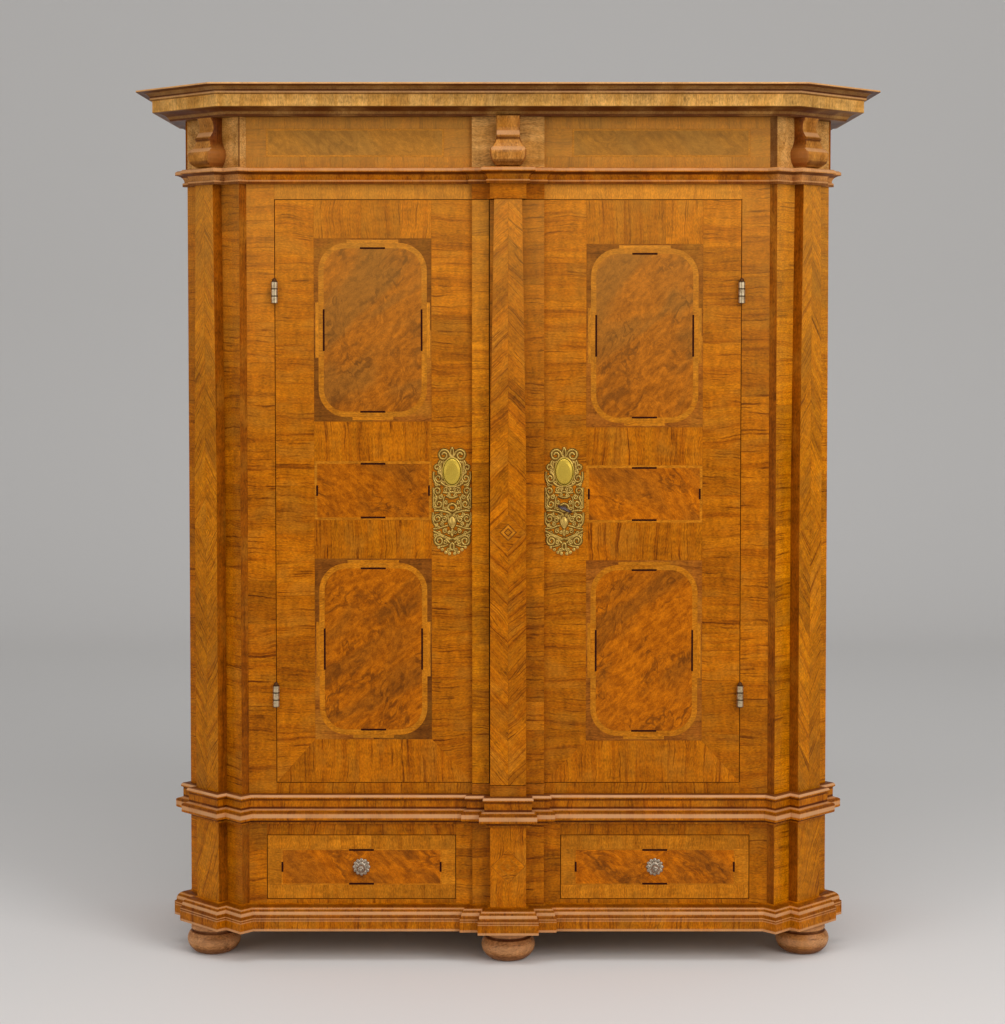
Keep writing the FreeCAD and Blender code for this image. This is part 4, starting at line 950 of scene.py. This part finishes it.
class CUPBOARD_OT_pilaster_veneers(bpy.types.Operator):
    """Lay the chevrons of the pilasters and the leaves of the canted piers"""

    bl_idname = "cupboard.pilaster_veneers"
    bl_label = "Pilaster veneers"

    def execute(self, context):
        settings = context.scene.cupboard_veneers
        low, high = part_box("centre_pilaster")
        inlay = Inlay(settings, 31)
        level = (low.z, high.z)
        self.shaft(inlay, level, level, 0.075, math.radians(45), "chevron")
        rings = (
            (0.0575, "spandrel"), (0.0555, "crossband"), (0.0285, "spandrel"), (0.0235, "strap"),
            (0.0145, "spandrel"), (0.0095, "strap"),
        )
        inlay.diamonds((0, CHEVRON_TURN), rings)
        inlay.lay("centre_pilaster_veneer", "right_door", (0, low.y, 0))
        inlay = Inlay(settings, 32)
        inlay.leaf((-PILASTER_X, PILASTER_X), BASE_LEVELS, "crossband", math.pi / 2)
        rings = (
            (0.055, "spandrel"), (0.0535, "crossband"), (0.033, "strap"), (0.029, "crossband"),
            (0.012, "strap"),
        )
        inlay.diamonds((0, BASE_DIAMOND), rings)
        inlay.lay("base_centre_veneer", "carcase", (0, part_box("base_pilasters")[0].y, 0))
        for side, word in SIDES:
            self.corner(settings, side, word)
        return {"FINISHED"}

    def shaft(self, inlay, level, reach, pitch, slope, wood):
        """Chevrons of a tapering pilaster within its reach: they point up above the turn and down below."""
        cuts = [mitre(*narrowing(hand, PILASTER_X, level), (0, level[0])) for hand in (-1, 1)]
        inlay.chevrons(PILASTER_X, (CHEVRON_TURN, reach[1]), pitch, slope, False, wood, cuts)
        inlay.chevrons(PILASTER_X, (reach[0], CHEVRON_TURN), pitch, slope, True, wood, cuts)

    def corner(self, settings, side, word):
        """Leaves on one canted corner: the pier's two strips, its pilaster and the block below."""
        low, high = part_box(f"corner_pier_{word}")
        edge = CANT_WIDTH / 2
        place, turn = cant(side)
        outward = Vector((math.sin(turn), -math.cos(turn), 0))
        level = (low.z, high.z)
        reach = (low.z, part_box("architrave_moulding")[0].z)
        inlay = Inlay(settings, 41 + side)
        # The right pier's strips take the lighter band: painted light on recessed strips
        wood = "bright_band" if side > 0 else "crossband"
        for hand in (-1, 1):
            inlay.band(span(hand, PILASTER_X, edge), BASE_LEVELS, wood, False, 0.1)
            beside_pilaster(inlay, hand, (PILASTER_X, edge), level, wood, 0.1)
        inlay.lay(f"{word}_pier_veneer", "carcase", place, turn)
        inlay = Inlay(settings, 51 + side)
        self.shaft(inlay, level, reach, 0.13, math.radians(55), "bright_band")
        inlay.leaf((-PILASTER_X, PILASTER_X), BASE_LEVELS, "bright_band", math.radians(70))
        inlay.lay(f"{word}_pilaster_veneer", "carcase", place + outward * CANT_PILASTER, turn)


class CUPBOARD_OT_case_veneers(bpy.types.Operator):
    """Lay the veneers of the front frame, the frieze and the drawer frame"""

    bl_idname = "cupboard.case_veneers"
    bl_label = "Case veneers"

    def execute(self, context):
        settings = context.scene.cupboard_veneers
        inlay = Inlay(settings, 61)
        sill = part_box("sill_rail")
        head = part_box("head_rail")
        opening = head[1].x
        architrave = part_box("architrave_moulding")[0].z
        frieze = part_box("frieze_boards")
        panel = (0.1435, 0.541)
        level = (1.8145, 1.877)
        low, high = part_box("right_drawer_front")
        gap = 0.0015
        drawer_x = (low.x - gap, high.x + gap)
        drawer_z = (low.z - gap, high.z + gap)
        for side in (-1, 1):
            inlay.band(span(side, opening, FRAME_X), (sill[0].z, architrave), "stile_band", False, 0.095)
            inlay.band(span(side, PLATE_X, opening), (head[0].z, architrave), "strap", True, 0.15)
            inlay.band(span(side, PLATE_X, opening), (sill[0].z, sill[1].z), "crossband", True, 0.09)
            inlay.band(span(side, PLATE_X, FRAME_X), (frieze[0].z, level[0]), "frieze_band", True, 0.1)
            inlay.band(span(side, PLATE_X, FRAME_X), (level[1], frieze[1].z), "frieze_band", True, 0.1)
            inlay.band(span(side, PLATE_X, panel[0]), level, "frieze_band", False, 0.08)
            inlay.band(span(side, panel[1], FRAME_X), level, "frieze_band", False, 0.08)
            inlay.plain_panel(span(side, *panel), level, "burl_dark", 0.004)
            inlay.band(span(side, drawer_x[1], FRAME_X), BASE_LEVELS, "stile_band", False, 0.06)
            inlay.band(span(side, PLATE_X, drawer_x[0]), BASE_LEVELS, "stile_band", False, 0.06)
            inlay.band(span(side, *drawer_x), (BASE_LEVELS[0], drawer_z[0]), "crossband", True, 0.09)
            inlay.band(span(side, *drawer_x), (drawer_z[1], BASE_LEVELS[1]), "crossband", True, 0.09)
        inlay.lay("case_front_veneer", "carcase", (0, FRONT_Y, 0))
        inlay = Inlay(settings, 62)
        for side in (-1, 1):
            inlay.band(span(side, PILASTER_X, PLATE_X), BASE_LEVELS, "stile_band", False, 0.09)
        inlay.lay("base_plate_veneer", "carcase", (0, PLATE_Y, 0))
        return {"FINISHED"}


class CUPBOARD_OT_drawer_veneers(bpy.types.Operator):
    """Lay the veneers of the two drawer fronts"""

    bl_idname = "cupboard.drawer_veneers"
    bl_label = "Drawer veneers"

    def execute(self, context):
        for side, word in SIDES:
            low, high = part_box(f"{word}_drawer_front")
            inlay = Inlay(context.scene.cupboard_veneers, 71 + side)
            border = 0.031
            x = (low.x + border, high.x - border)
            z = (low.z + border, high.z - border)
            inlay.band((low.x, high.x), (low.z, z[0]), "strap", True, 0.1)
            inlay.band((low.x, high.x), (z[1], high.z), "strap", True, 0.1)
            inlay.band((low.x, x[0]), z, "strap", False, 0.09)
            inlay.band((x[1], high.x), z, "strap", False, 0.09)
            inlay.plain_panel(x, z, "burl_gold", 0.0025, (0.057, 0.023), tone=1.0)
            inlay.lay(f"{word}_drawer_veneer", f"{word}_drawer", (0, FRONT_Y, 0))
        return {"FINISHED"}


def smooth_shaded(item, angle):
    """Smooth shading with edges sharper than the angle left crisp."""
    for polygon in item.data.polygons:
        polygon.use_smooth = True
    item.data.set_sharp_from_angle(angle=angle)
    return item


def joined(mesh, other):
    """Adds one mesh under construction to another and frees it."""
    data = bpy.data.meshes.new("part")
    other.to_mesh(data)
    other.free()
    mesh.from_mesh(data)
    bpy.data.meshes.remove(data)


def drawn_up(mesh, sections):
    """Draws a flat face up into a solid through sections: level, width and depth, in metres."""
    level, wide, deep = sections[0]
    bmesh.ops.scale(mesh, verts=mesh.verts, vec=(wide, deep, 1))
    bmesh.ops.translate(mesh, verts=mesh.verts, vec=(0, 0, level))
    top = mesh.faces[:]
    keep_bottom = True
    for height, across, out in sections[1:]:
        raised = bmesh.ops.extrude_face_region(mesh, geom=top, use_keep_orig=keep_bottom)
        keep_bottom = False
        verts = of_kind(raised, bmesh.types.BMVert)
        bmesh.ops.translate(mesh, verts=verts, vec=(0, 0, height - level))
        bmesh.ops.scale(mesh, verts=verts, vec=(across / wide, out / deep, 1))
        top = of_kind(raised, bmesh.types.BMFace)
        level, wide, deep = height, across, out
    bmesh.ops.recalc_face_normals(mesh, faces=mesh.faces)
    return mesh


class CUPBOARD_OT_consoles(bpy.types.Operator):
    """Shape the three scroll consoles of the frieze"""

    bl_idname = "cupboard.consoles"
    bl_label = "Consoles"

    WIDTH = 0.08
    PROJECTION = 0.05
    # From the bottom up: shares of the height, of the greatest width and of the greatest projection
    SECTIONS = (
        (0.0, 0.56, 0.5), (0.045, 0.73, 0.76), (0.106, 0.87, 0.93), (0.195, 0.97, 1.0), (0.283, 1.0, 1.0),
        (0.336, 0.99, 0.95), (0.372, 0.94, 0.87), (0.398, 0.86, 0.8), (0.46, 0.76, 0.74), (0.531, 0.69, 0.7),
        (0.562, 0.665, 0.695), (0.571, 0.66, 0.77), (0.59, 0.66, 0.77), (0.637, 0.65, 0.66),
        (0.708, 0.65, 0.55), (0.779, 0.65, 0.49), (0.858, 0.655, 0.5), (0.938, 0.665, 0.56),
        (1.0, 0.67, 0.62),
    )

    def execute(self, context):
        low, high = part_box("consoles")
        mesh = bmesh.new()
        seats = [((0, PLATE_Y, low.z), 0.0)]
        inwards = 0.008 * math.sqrt(0.5)
        for side in (-1, 1):
            place, turn = cant(side)
            seats.append((place + Vector((-side * inwards, -inwards, low.z)), turn))
        for place, turn in seats:
            console = self.console(self.WIDTH, self.PROJECTION, high.z - low.z)
            matrix = Matrix.Translation(place) @ Matrix.Rotation(turn, 4, "Z")
            bmesh.ops.transform(console, matrix=matrix, verts=console.verts)
            joined(mesh, console)
        woods = [FINISHES["console"], FINISHES["console_shaded_side"]]
        item = smooth_shaded(finished("scroll_consoles", mesh, woods), math.radians(38))
        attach(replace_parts(item, "consoles"), "carcase")
        return {"FINISHED"}

    def console(self, width, projection, height):
        """One console with its back on the plane Y = 0, drawn up section by section."""
        mesh = bmesh.new()
        bmesh.ops.create_grid(mesh, x_segments=1, y_segments=1, size=0.5)
        bmesh.ops.translate(mesh, verts=mesh.verts, vec=(0, -0.5, 0))
        corners = [vert for vert in mesh.verts if vert.co.y < -0.5]
        bmesh.ops.bevel(
            mesh, geom=corners, offset=0.1, segments=4, profile=0.5, affect="VERTICES", material=-1,
        )
        sections = [(level * height, wide * width, deep * projection) for level, wide, deep in self.SECTIONS]
        drawn_up(mesh, sections)
        # Faces turned to the sides get the darker finish, which is painted shade
        for face in mesh.faces:
            face.material_index = int(abs(face.normal.x) > 0.6)
        return mesh


def spiral(centre, radius, start, turns, inner=0.28):
    """Points of a spiral from its outer end inwards; angles in degrees, lengths in millimetres."""
    count = max(5, round(abs(turns) * 10))
    points = []
    for number in range(count + 1):
        share = number / count
        reach = radius * (1 - (1 - inner) * share)
        angle = math.radians(start + 360 * turns * share)
        points.append((centre[0] + reach * math.cos(angle), centre[1] + reach * math.sin(angle)))
    return points


def scroll(first, second):
    """Points of one scroll that ends in a spiral on both sides."""
    return spiral(*first)[::-1] + spiral(*second)


def oval(centre, across, up):
    """Points of a closed oval."""
    angles = [math.radians(30 * number) for number in range(12)]
    return [(centre[0] + across * math.cos(angle), centre[1] + up * math.sin(angle)) for angle in angles]


class Scrollwork:
    """Pierced metal ornament drawn flat in millimetres from its middle, both halves alike."""

    # The plates are this much narrower than the drawing
    WIDTH_SHARE = 0.94

    def __init__(self, wire):
        self.curve = bpy.data.curves.new("scrollwork", "CURVE")
        self.curve.dimensions = "3D"
        self.curve.bevel_depth = wire / 2
        self.curve.bevel_resolution = 1
        self.curve.resolution_u = 3
        self.curve.use_fill_caps = True

    def stroke(self, points, closed=False, width=1.0, sides=(-1, 1)):
        """One band along these points, with its mirror image."""
        for side in sides:
            line = self.curve.splines.new("NURBS")
            line.points.add(len(points) - 1)
            for knot, (x, z) in zip(line.points, points):
                knot.co = (side * x / 1000 * self.WIDTH_SHARE, z / 1000, 0, 1)
                knot.radius = width
            line.order_u = min(4, len(points))
            line.use_endpoint_u = not closed
            line.use_cyclic_u = closed

    def mesh(self, flat):
        """The bands as a mesh under construction, pressed flat by a share."""
        item = bpy.data.objects.new("scrollwork", self.curve)
        bpy.context.collection.objects.link(item)
        graph = bpy.context.evaluated_depsgraph_get()
        data = bpy.data.meshes.new_from_object(item.evaluated_get(graph))
        mesh = bmesh.new()
        mesh.from_mesh(data)
        bpy.data.objects.remove(item)
        bpy.data.curves.remove(self.curve)
        bpy.data.meshes.remove(data)
        bmesh.ops.remove_doubles(mesh, verts=mesh.verts, dist=1e-6)
        bmesh.ops.scale(mesh, verts=mesh.verts, vec=(1, 1, flat))
        bmesh.ops.recalc_face_normals(mesh, faces=mesh.faces)
        return mesh


class CUPBOARD_OT_door_plates(bpy.types.Operator):
    """Shape the pierced brass plates of the doors"""

    bl_idname = "cupboard.door_plates"
    bl_label = "Door plates"

    LIFT = 0.0009
    # Bands of a plate's right half: points, then the share of the full width
    BANDS = (
        ([(2, 97), (3, 104)] + spiral((20, 105), 15, 190, -1.5), 1.15),
        ([(0, 122), (5, 115), (5, 107), (0, 100)], 0.9),
        ([(28, 93), (33, 88), (31, 83)], 1.0),
        (scroll(((36, 77), 8.5, 250, -1.25), ((33, 53), 11, 110, 1.3)), 1.0),
        ([(43, 68), (45, 58), (43, 47), (38, 39), (28, 37)], 1.0),
        ([(25, 92), (29, 82), (25, 68), (25, 55)], 0.9),
        ([(26, 44), (20, 36), (8, 33), (0, 34)], 1.1),
        (spiral((15, 27), 6, 150, -1.2), 0.8),
        ([(0, 22), (8, 22), (14, 18), (22, 22)], 1.0),
        ([(0, 9), (8, 10), (14, 14)], 1.1),
        (scroll(((35, 24), 10, 290, 1.3), ((32, -5), 11, 70, -1.3)), 1.0),
        ([(45, 32), (44, 22), (45, 8), (44, -6), (45, -14)], 0.9),
        ([(18, 12), (23, 4), (20, -8), (22, -17)], 1.0),
        ([(3, -28), (10, -23), (20, -22), (30, -19), (43, -20)], 1.1),
        (scroll(((35, -38), 11, 170, -1.4), ((19, -40), 7.5, 50, 1.3)), 1.0),
        ([(45, -24), (46, -34), (46, -46), (41, -54), (30, -57)], 1.0),
        ([(10, -30), (9, -40), (9, -52), (0, -60)], 1.0),
        ([(10, -54), (20, -54), (26, -61), (45, -61)], 0.9),
        (spiral((17, -66), 6, 140, -1.3), 0.8),
        ([(45, -66), (34, -72), (18, -77), (2, -86), (-12, -85), (-20, -80)], 1.15),
        ([(0, -62), (4, -70), (0, -78)], 0.9),
        ([(6, -93), (12, -86)] + spiral((31, -88), 13, 120, -1.5), 1.15),
        (spiral((31, -70), 5, 200, 1.2), 0.8),
        ([(10, -96), (20, -102), (32, -101)], 0.9),
    )
    # Small spirals that fill a half: middle, radius, start in degrees and turns, then the share of the width
    CURLS = (
        (31, 67, 5.5, 60, 1.2, 0.8), (22, 44, 5, 30, -1.2, 0.8), (7, 16, 4, 200, 1.2, 0.8),
        (28, 11, 6, 100, 1.3, 0.9), (41, -13, 4, 100, 1.2, 0.8), (26, -30, 5, 120, -1.2, 0.8),
        (12, -33, 4.5, 250, 1.2, 0.8), (25, -50, 5, 60, 1.2, 0.8), (38, -53, 4.5, 100, 1.2, 0.8),
        (8, -69, 4, 90, 1.2, 0.8), (40, -77, 4.5, 20, 1.2, 0.8), (17, -92, 5, 60, 1.2, 0.9),
        (9, -108, 5, 120, 1.2, 0.9), (20, 88, 4, 0, 1.2, 0.7), (14.5, -1, 5, 220, 1.2, 0.8),
        (15, -14.5, 4.5, 40, -1.2, 0.8), (38, 9.5, 4.5, 250, 1.2, 0.8), (5, -30, 3.5, 90, 1.2, 0.8),
        (5, 28, 4, 270, 1.2, 0.8), (38, 38, 4, 30, 1.2, 0.8),
    )
    BEADS = ((6, -117, 4.2), (14, -114, 4.2), (22, -108, 4.2), (30, -103, 3.4), (0, 121, 2.4))

    def execute(self, context):
        settings = context.scene.cupboard_mounts
        for word in ("left", "right"):
            low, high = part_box(f"{word}_brass_plate")
            middle = ((low.x + high.x) / 2, (low.z + high.z) / 2)
            mesh = self.plate(settings.wire)
            place = Matrix.Translation((middle[0], FRONT_Y - self.LIFT, middle[1]))
            matrix = place @ Matrix.Rotation(math.pi / 2, 4, "X")
            bmesh.ops.transform(mesh, matrix=matrix, verts=mesh.verts)
            metals = [FINISHES[metal] for metal in ("brass", "boss_brass", "brass_ground")]
            item = finished(f"{word}_door_plate", mesh, metals)
            smooth_shaded(item, math.radians(60))
            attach(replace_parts(item, f"{word}_brass_plate"), f"{word}_door")
        return {"FINISHED"}

    def plate(self, wire):
        """Scrollwork with beads, a shield and an oval boss, as seen from the front."""
        mesh = self.bands(wire, 0.7)
        ground = self.bands(wire * 2.3, 0.12)
        for face in ground.faces:
            face.material_index = 2
        joined(mesh, ground)
        for x, z, radius in self.BEADS:
            for hand in (-1, 1) if x else (1,):
                bead = bmesh.new()
                bmesh.ops.create_uvsphere(bead, u_segments=12, v_segments=8, radius=radius / 1000)
                bmesh.ops.scale(bead, verts=bead.verts, vec=(1, 1, 0.45))
                bmesh.ops.translate(bead, verts=bead.verts, vec=(hand * x / 1000, z / 1000, 0))
                joined(mesh, bead)
        joined(mesh, self.shield())
        joined(mesh, self.boss())
        return mesh

    def bands(self, wire, flat):
        """All bands of a plate at one width."""
        work = Scrollwork(wire)
        for points, width in self.BANDS:
            work.stroke(points, width=width)
        for x, z, radius, start, turns, width in self.CURLS:
            work.stroke(spiral((x, z), radius, start, turns), width=width)
        work.stroke(oval((0, -13), 10.5, 8.5), closed=True, width=1.2, sides=(1,))
        work.stroke(oval((0, -101), 4.5, 8), closed=True, width=1.1, sides=(1,))
        work.stroke(oval((0, 67.8), 23, 33.5), closed=True, width=1.2, sides=(1,))
        return work.mesh(flat)

    def shield(self):
        """Small raised shield under the keyhole."""
        mesh = bmesh.new()
        bmesh.ops.create_cone(
            mesh, cap_ends=True, segments=24, radius1=0.0085, radius2=0.0065, depth=0.003,
        )
        bmesh.ops.scale(mesh, verts=mesh.verts, vec=(1, 1.6, 1))
        lower = [vert for vert in mesh.verts if vert.co.y < 0]
        bmesh.ops.scale(mesh, verts=lower, vec=(0.75, 1.1, 1))
        bmesh.ops.translate(mesh, verts=mesh.verts, vec=(0, -0.046, 0))
        return mesh

    def boss(self):
        """Oval boss: a plain domed middle inside a beaded step."""
        mesh = bmesh.new()
        bmesh.ops.create_circle(mesh, cap_ends=True, segments=48, radius=1.0)
        steps = (
            (0, 1), (0.0022, 1.0), (0.003, 0.95), (0.003, 0.9), (0.0042, 0.84), (0.0056, 0.62),
            (0.0062, 0.32),
        )
        drawn_up(mesh, [(height, share * 0.0215, share * 0.0315) for height, share in steps])
        bmesh.ops.translate(mesh, verts=mesh.verts, vec=(0, 0.0678, -0.0008))
        for face in mesh.faces:
            face.material_index = 1
        return mesh


class CUPBOARD_OT_drawer_knobs(bpy.types.Operator):
    """Shape the knobs of the drawers with their petalled rosettes"""

    bl_idname = "cupboard.drawer_knobs"
    bl_label = "Drawer knobs"

    # Distance from the drawer and radius, as shares of the knob's reach and the rosette's radius
    ROSETTE = ((0.0, 0.8), (0.03, 0.86), (0.07, 0.72), (0.09, 0.5), (0.14, 0.42), (0.16, 0.3))
    KNOB = (
        (0.1, 0.26), (0.28, 0.2), (0.42, 0.22), (0.5, 0.34), (0.58, 0.42), (0.7, 0.46), (0.82, 0.42),
        (0.9, 0.32), (0.92, 0.18), (0.97, 0.15), (1.0, 0.06),
    )

    def execute(self, context):
        petals = context.scene.cupboard_mounts.petals
        for word in ("left", "right"):
            low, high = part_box(f"{word}_drawer_knob")
            radius = (high.x - low.x) / 2
            reach = FRONT_Y - low.y
            mesh = bmesh.new()
            for profile in (self.ROSETTE, self.KNOB):
                turned = bmesh.new()
                bmesh.ops.create_circle(turned, cap_ends=True, segments=36, radius=1.0)
                sections = [(out * reach, share * radius, share * radius) for out, share in profile]
                joined(mesh, drawn_up(turned, sections))
            for number in range(petals):
                joined(mesh, self.petal(radius, math.tau * number / petals))
            place = Matrix.Translation(((low.x + high.x) / 2, FRONT_Y, (low.z + high.z) / 2))
            matrix = place @ Matrix.Rotation(math.pi / 2, 4, "X")
            bmesh.ops.transform(mesh, matrix=matrix, verts=mesh.verts)
            item = finished(f"{word}_rosette_knob", mesh, [FINISHES["pewter"]])
            smooth_shaded(item, math.radians(50))
            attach(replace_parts(item, f"{word}_drawer_knob"), f"{word}_drawer")
        return {"FINISHED"}

    def petal(self, radius, angle):
        """One domed petal at the edge of a rosette."""
        mesh = bmesh.new()
        bmesh.ops.create_uvsphere(mesh, u_segments=14, v_segments=10, radius=1.0)
        bmesh.ops.scale(mesh, verts=mesh.verts, vec=(0.3 * radius, 0.24 * radius, 0.13 * radius))
        bmesh.ops.translate(mesh, verts=mesh.verts, vec=(0.72 * radius, 0, 0.05 * radius))
        bmesh.ops.rotate(mesh, verts=mesh.verts, matrix=Matrix.Rotation(angle, 3, "Z"))
        return mesh


def area_light(name, size, power, place, target):
    """Soft square lamp that points at a target."""
    lamp = bpy.data.lights.new(name, "AREA")
    lamp.shape = "RECTANGLE"
    lamp.size, lamp.size_y = size
    lamp.energy = power
    item = bpy.data.objects.new(name, lamp)
    item.location = place
    item.rotation_euler = (Vector(target) - Vector(place)).to_track_quat("-Z", "Y").to_euler()
    bpy.context.collection.objects.link(item)
    return item


class CUPBOARD_OT_stage(bpy.types.Operator):
    """Set up the floor, the backdrop, the light and the camera"""

    bl_idname = "cupboard.stage"
    bl_label = "Stage"

    # Half the floor's width and depth, and the bend from the floor up into the backdrop
    FLOOR_HALVES = (35, 31.5)
    BEND_Y = 4.6
    BEND_RADIUS = 1.6
    WALL_HEIGHT = 5

    def execute(self, context):
        scene = context.scene
        settings = scene.cupboard_stage
        floor_paint = Finish("floor_paint", roughness=0.85)
        floor_paint.wire_to("Base Color", tuple(settings.floor))
        mesh = bmesh.new()
        bmesh.ops.create_grid(mesh, x_segments=1, y_segments=1, size=1)
        bmesh.ops.scale(mesh, verts=mesh.verts, vec=(*self.FLOOR_HALVES, 1))
        far = [edge for edge in mesh.edges if all(vert.co.y > 0 for vert in edge.verts)]
        rim = [vert for vert in mesh.verts if vert.co.y > 0]
        bmesh.ops.translate(mesh, verts=rim, vec=(0, self.BEND_Y - rim[0].co.y, 0))
        spun = bmesh.ops.spin(
            mesh, geom=far, cent=(0, self.BEND_Y, self.BEND_RADIUS), axis=(1, 0, 0), angle=math.pi / 2,
            steps=24, dvec=(0, 0, 0),
        )
        wall = of_kind(spun, bmesh.types.BMEdge, "geom_last")
        raised = bmesh.ops.extrude_edge_only(mesh, edges=wall)
        top = of_kind(raised, bmesh.types.BMVert)
        bmesh.ops.translate(mesh, verts=top, vec=(0, 0, self.WALL_HEIGHT))
        bmesh.ops.remove_doubles(mesh, verts=mesh.verts, dist=1e-5)
        bmesh.ops.recalc_face_normals(mesh, faces=mesh.faces)
        bmesh.ops.translate(mesh, verts=mesh.verts, vec=(0, 0, FLOOR_Z))
        for face in mesh.faces:
            face.smooth = True
        floor = finished("studio_floor", mesh, [floor_paint.material])
        world = bpy.data.worlds.new("studio")
        world.use_nodes = True
        world.node_tree.nodes["Background"].inputs["Color"].default_value = (1, 1, 1, 1)
        world.node_tree.nodes["Background"].inputs["Strength"].default_value = 0.45
        scene.world = world
        area_light("key_light", (2.4, 2.4), 88, (2.9, -3.4, 2.8), (0, 0, 0.9))
        area_light("fill_light", (3.0, 3.0), 38, (-3.6, -3.0, 2.0), (0, 0, 1.0))
        area_light("top_light", (3.0, 1.0), 36, (0, -1.6, 3.6), (0, -0.2, 0.6))
        camera = bpy.data.cameras.new("photo_camera")
        camera.sensor_fit = "VERTICAL"
        camera.sensor_height = 36
        camera.lens = settings.lens
        camera.shift_x = settings.shift_x
        camera.shift_y = settings.shift_y
        camera.clip_end = 60
        view = bpy.data.objects.new("photo_camera", camera)
        view.location = (0, FRONT_Y - settings.distance, settings.height)
        view.rotation_euler = (math.pi / 2 - settings.pitch, 0, 0)
        context.collection.objects.link(view)
        scene.camera = view
        scene.view_settings.view_transform = "Standard"
        return {"FINISHED"}


class CUPBOARD_OT_finish(bpy.types.Operator):
    """Make the materials and put them on the cupboard's own pieces"""

    bl_idname = "cupboard.finish"
    bl_label = "Finish"

    def execute(self, context):
        make_finishes(context)
        finish_nodes()
        return {"FINISHED"}


OPERATORS = (
    CUPBOARD_OT_finish,
    CUPBOARD_OT_door_veneers,
    CUPBOARD_OT_pilaster_veneers,
    CUPBOARD_OT_case_veneers,
    CUPBOARD_OT_drawer_veneers,
    CUPBOARD_OT_consoles,
    CUPBOARD_OT_door_plates,
    CUPBOARD_OT_drawer_knobs,
    CUPBOARD_OT_stage,
)


class CUPBOARD_PT_panel(bpy.types.Panel):
    """Lists the steps that dress the cupboard"""

    bl_label = "Walnut hall cupboard"
    bl_space_type = "VIEW_3D"
    bl_region_type = "UI"
    bl_category = "Cupboard"

    def draw(self, context):
        scene = context.scene
        for operator in OPERATORS:
            self.layout.operator(operator.bl_idname)
        for settings in (scene.cupboard_veneers, scene.cupboard_mounts, scene.cupboard_stage):
            box = self.layout.box()
            for name in settings.__annotations__:
                box.prop(settings, name)


SETTINGS = {
    "cupboard_veneers": VeneerSettings,
    "cupboard_mounts": MountSettings,
    "cupboard_stage": StageSettings,
}


def register():
    """Makes the settings, the operators and the panel known."""
    for name, group in SETTINGS.items():
        bpy.utils.register_class(group)
        setattr(bpy.types.Scene, name, bpy.props.PointerProperty(type=group))
    for item in (*OPERATORS, CUPBOARD_PT_panel):
        bpy.utils.register_class(item)


def unregister():
    """Takes them away again."""
    for item in (CUPBOARD_PT_panel, *reversed(OPERATORS)):
        bpy.utils.unregister_class(item)
    for name, group in SETTINGS.items():
        delattr(bpy.types.Scene, name)
        bpy.utils.unregister_class(group)


def main():
    """Dresses the cupboard step by step."""
    register()
    for operator in OPERATORS:
        group, step = operator.bl_idname.split(".")
        getattr(getattr(bpy.ops, group), step)()


if __name__ == "__main__":
    main()
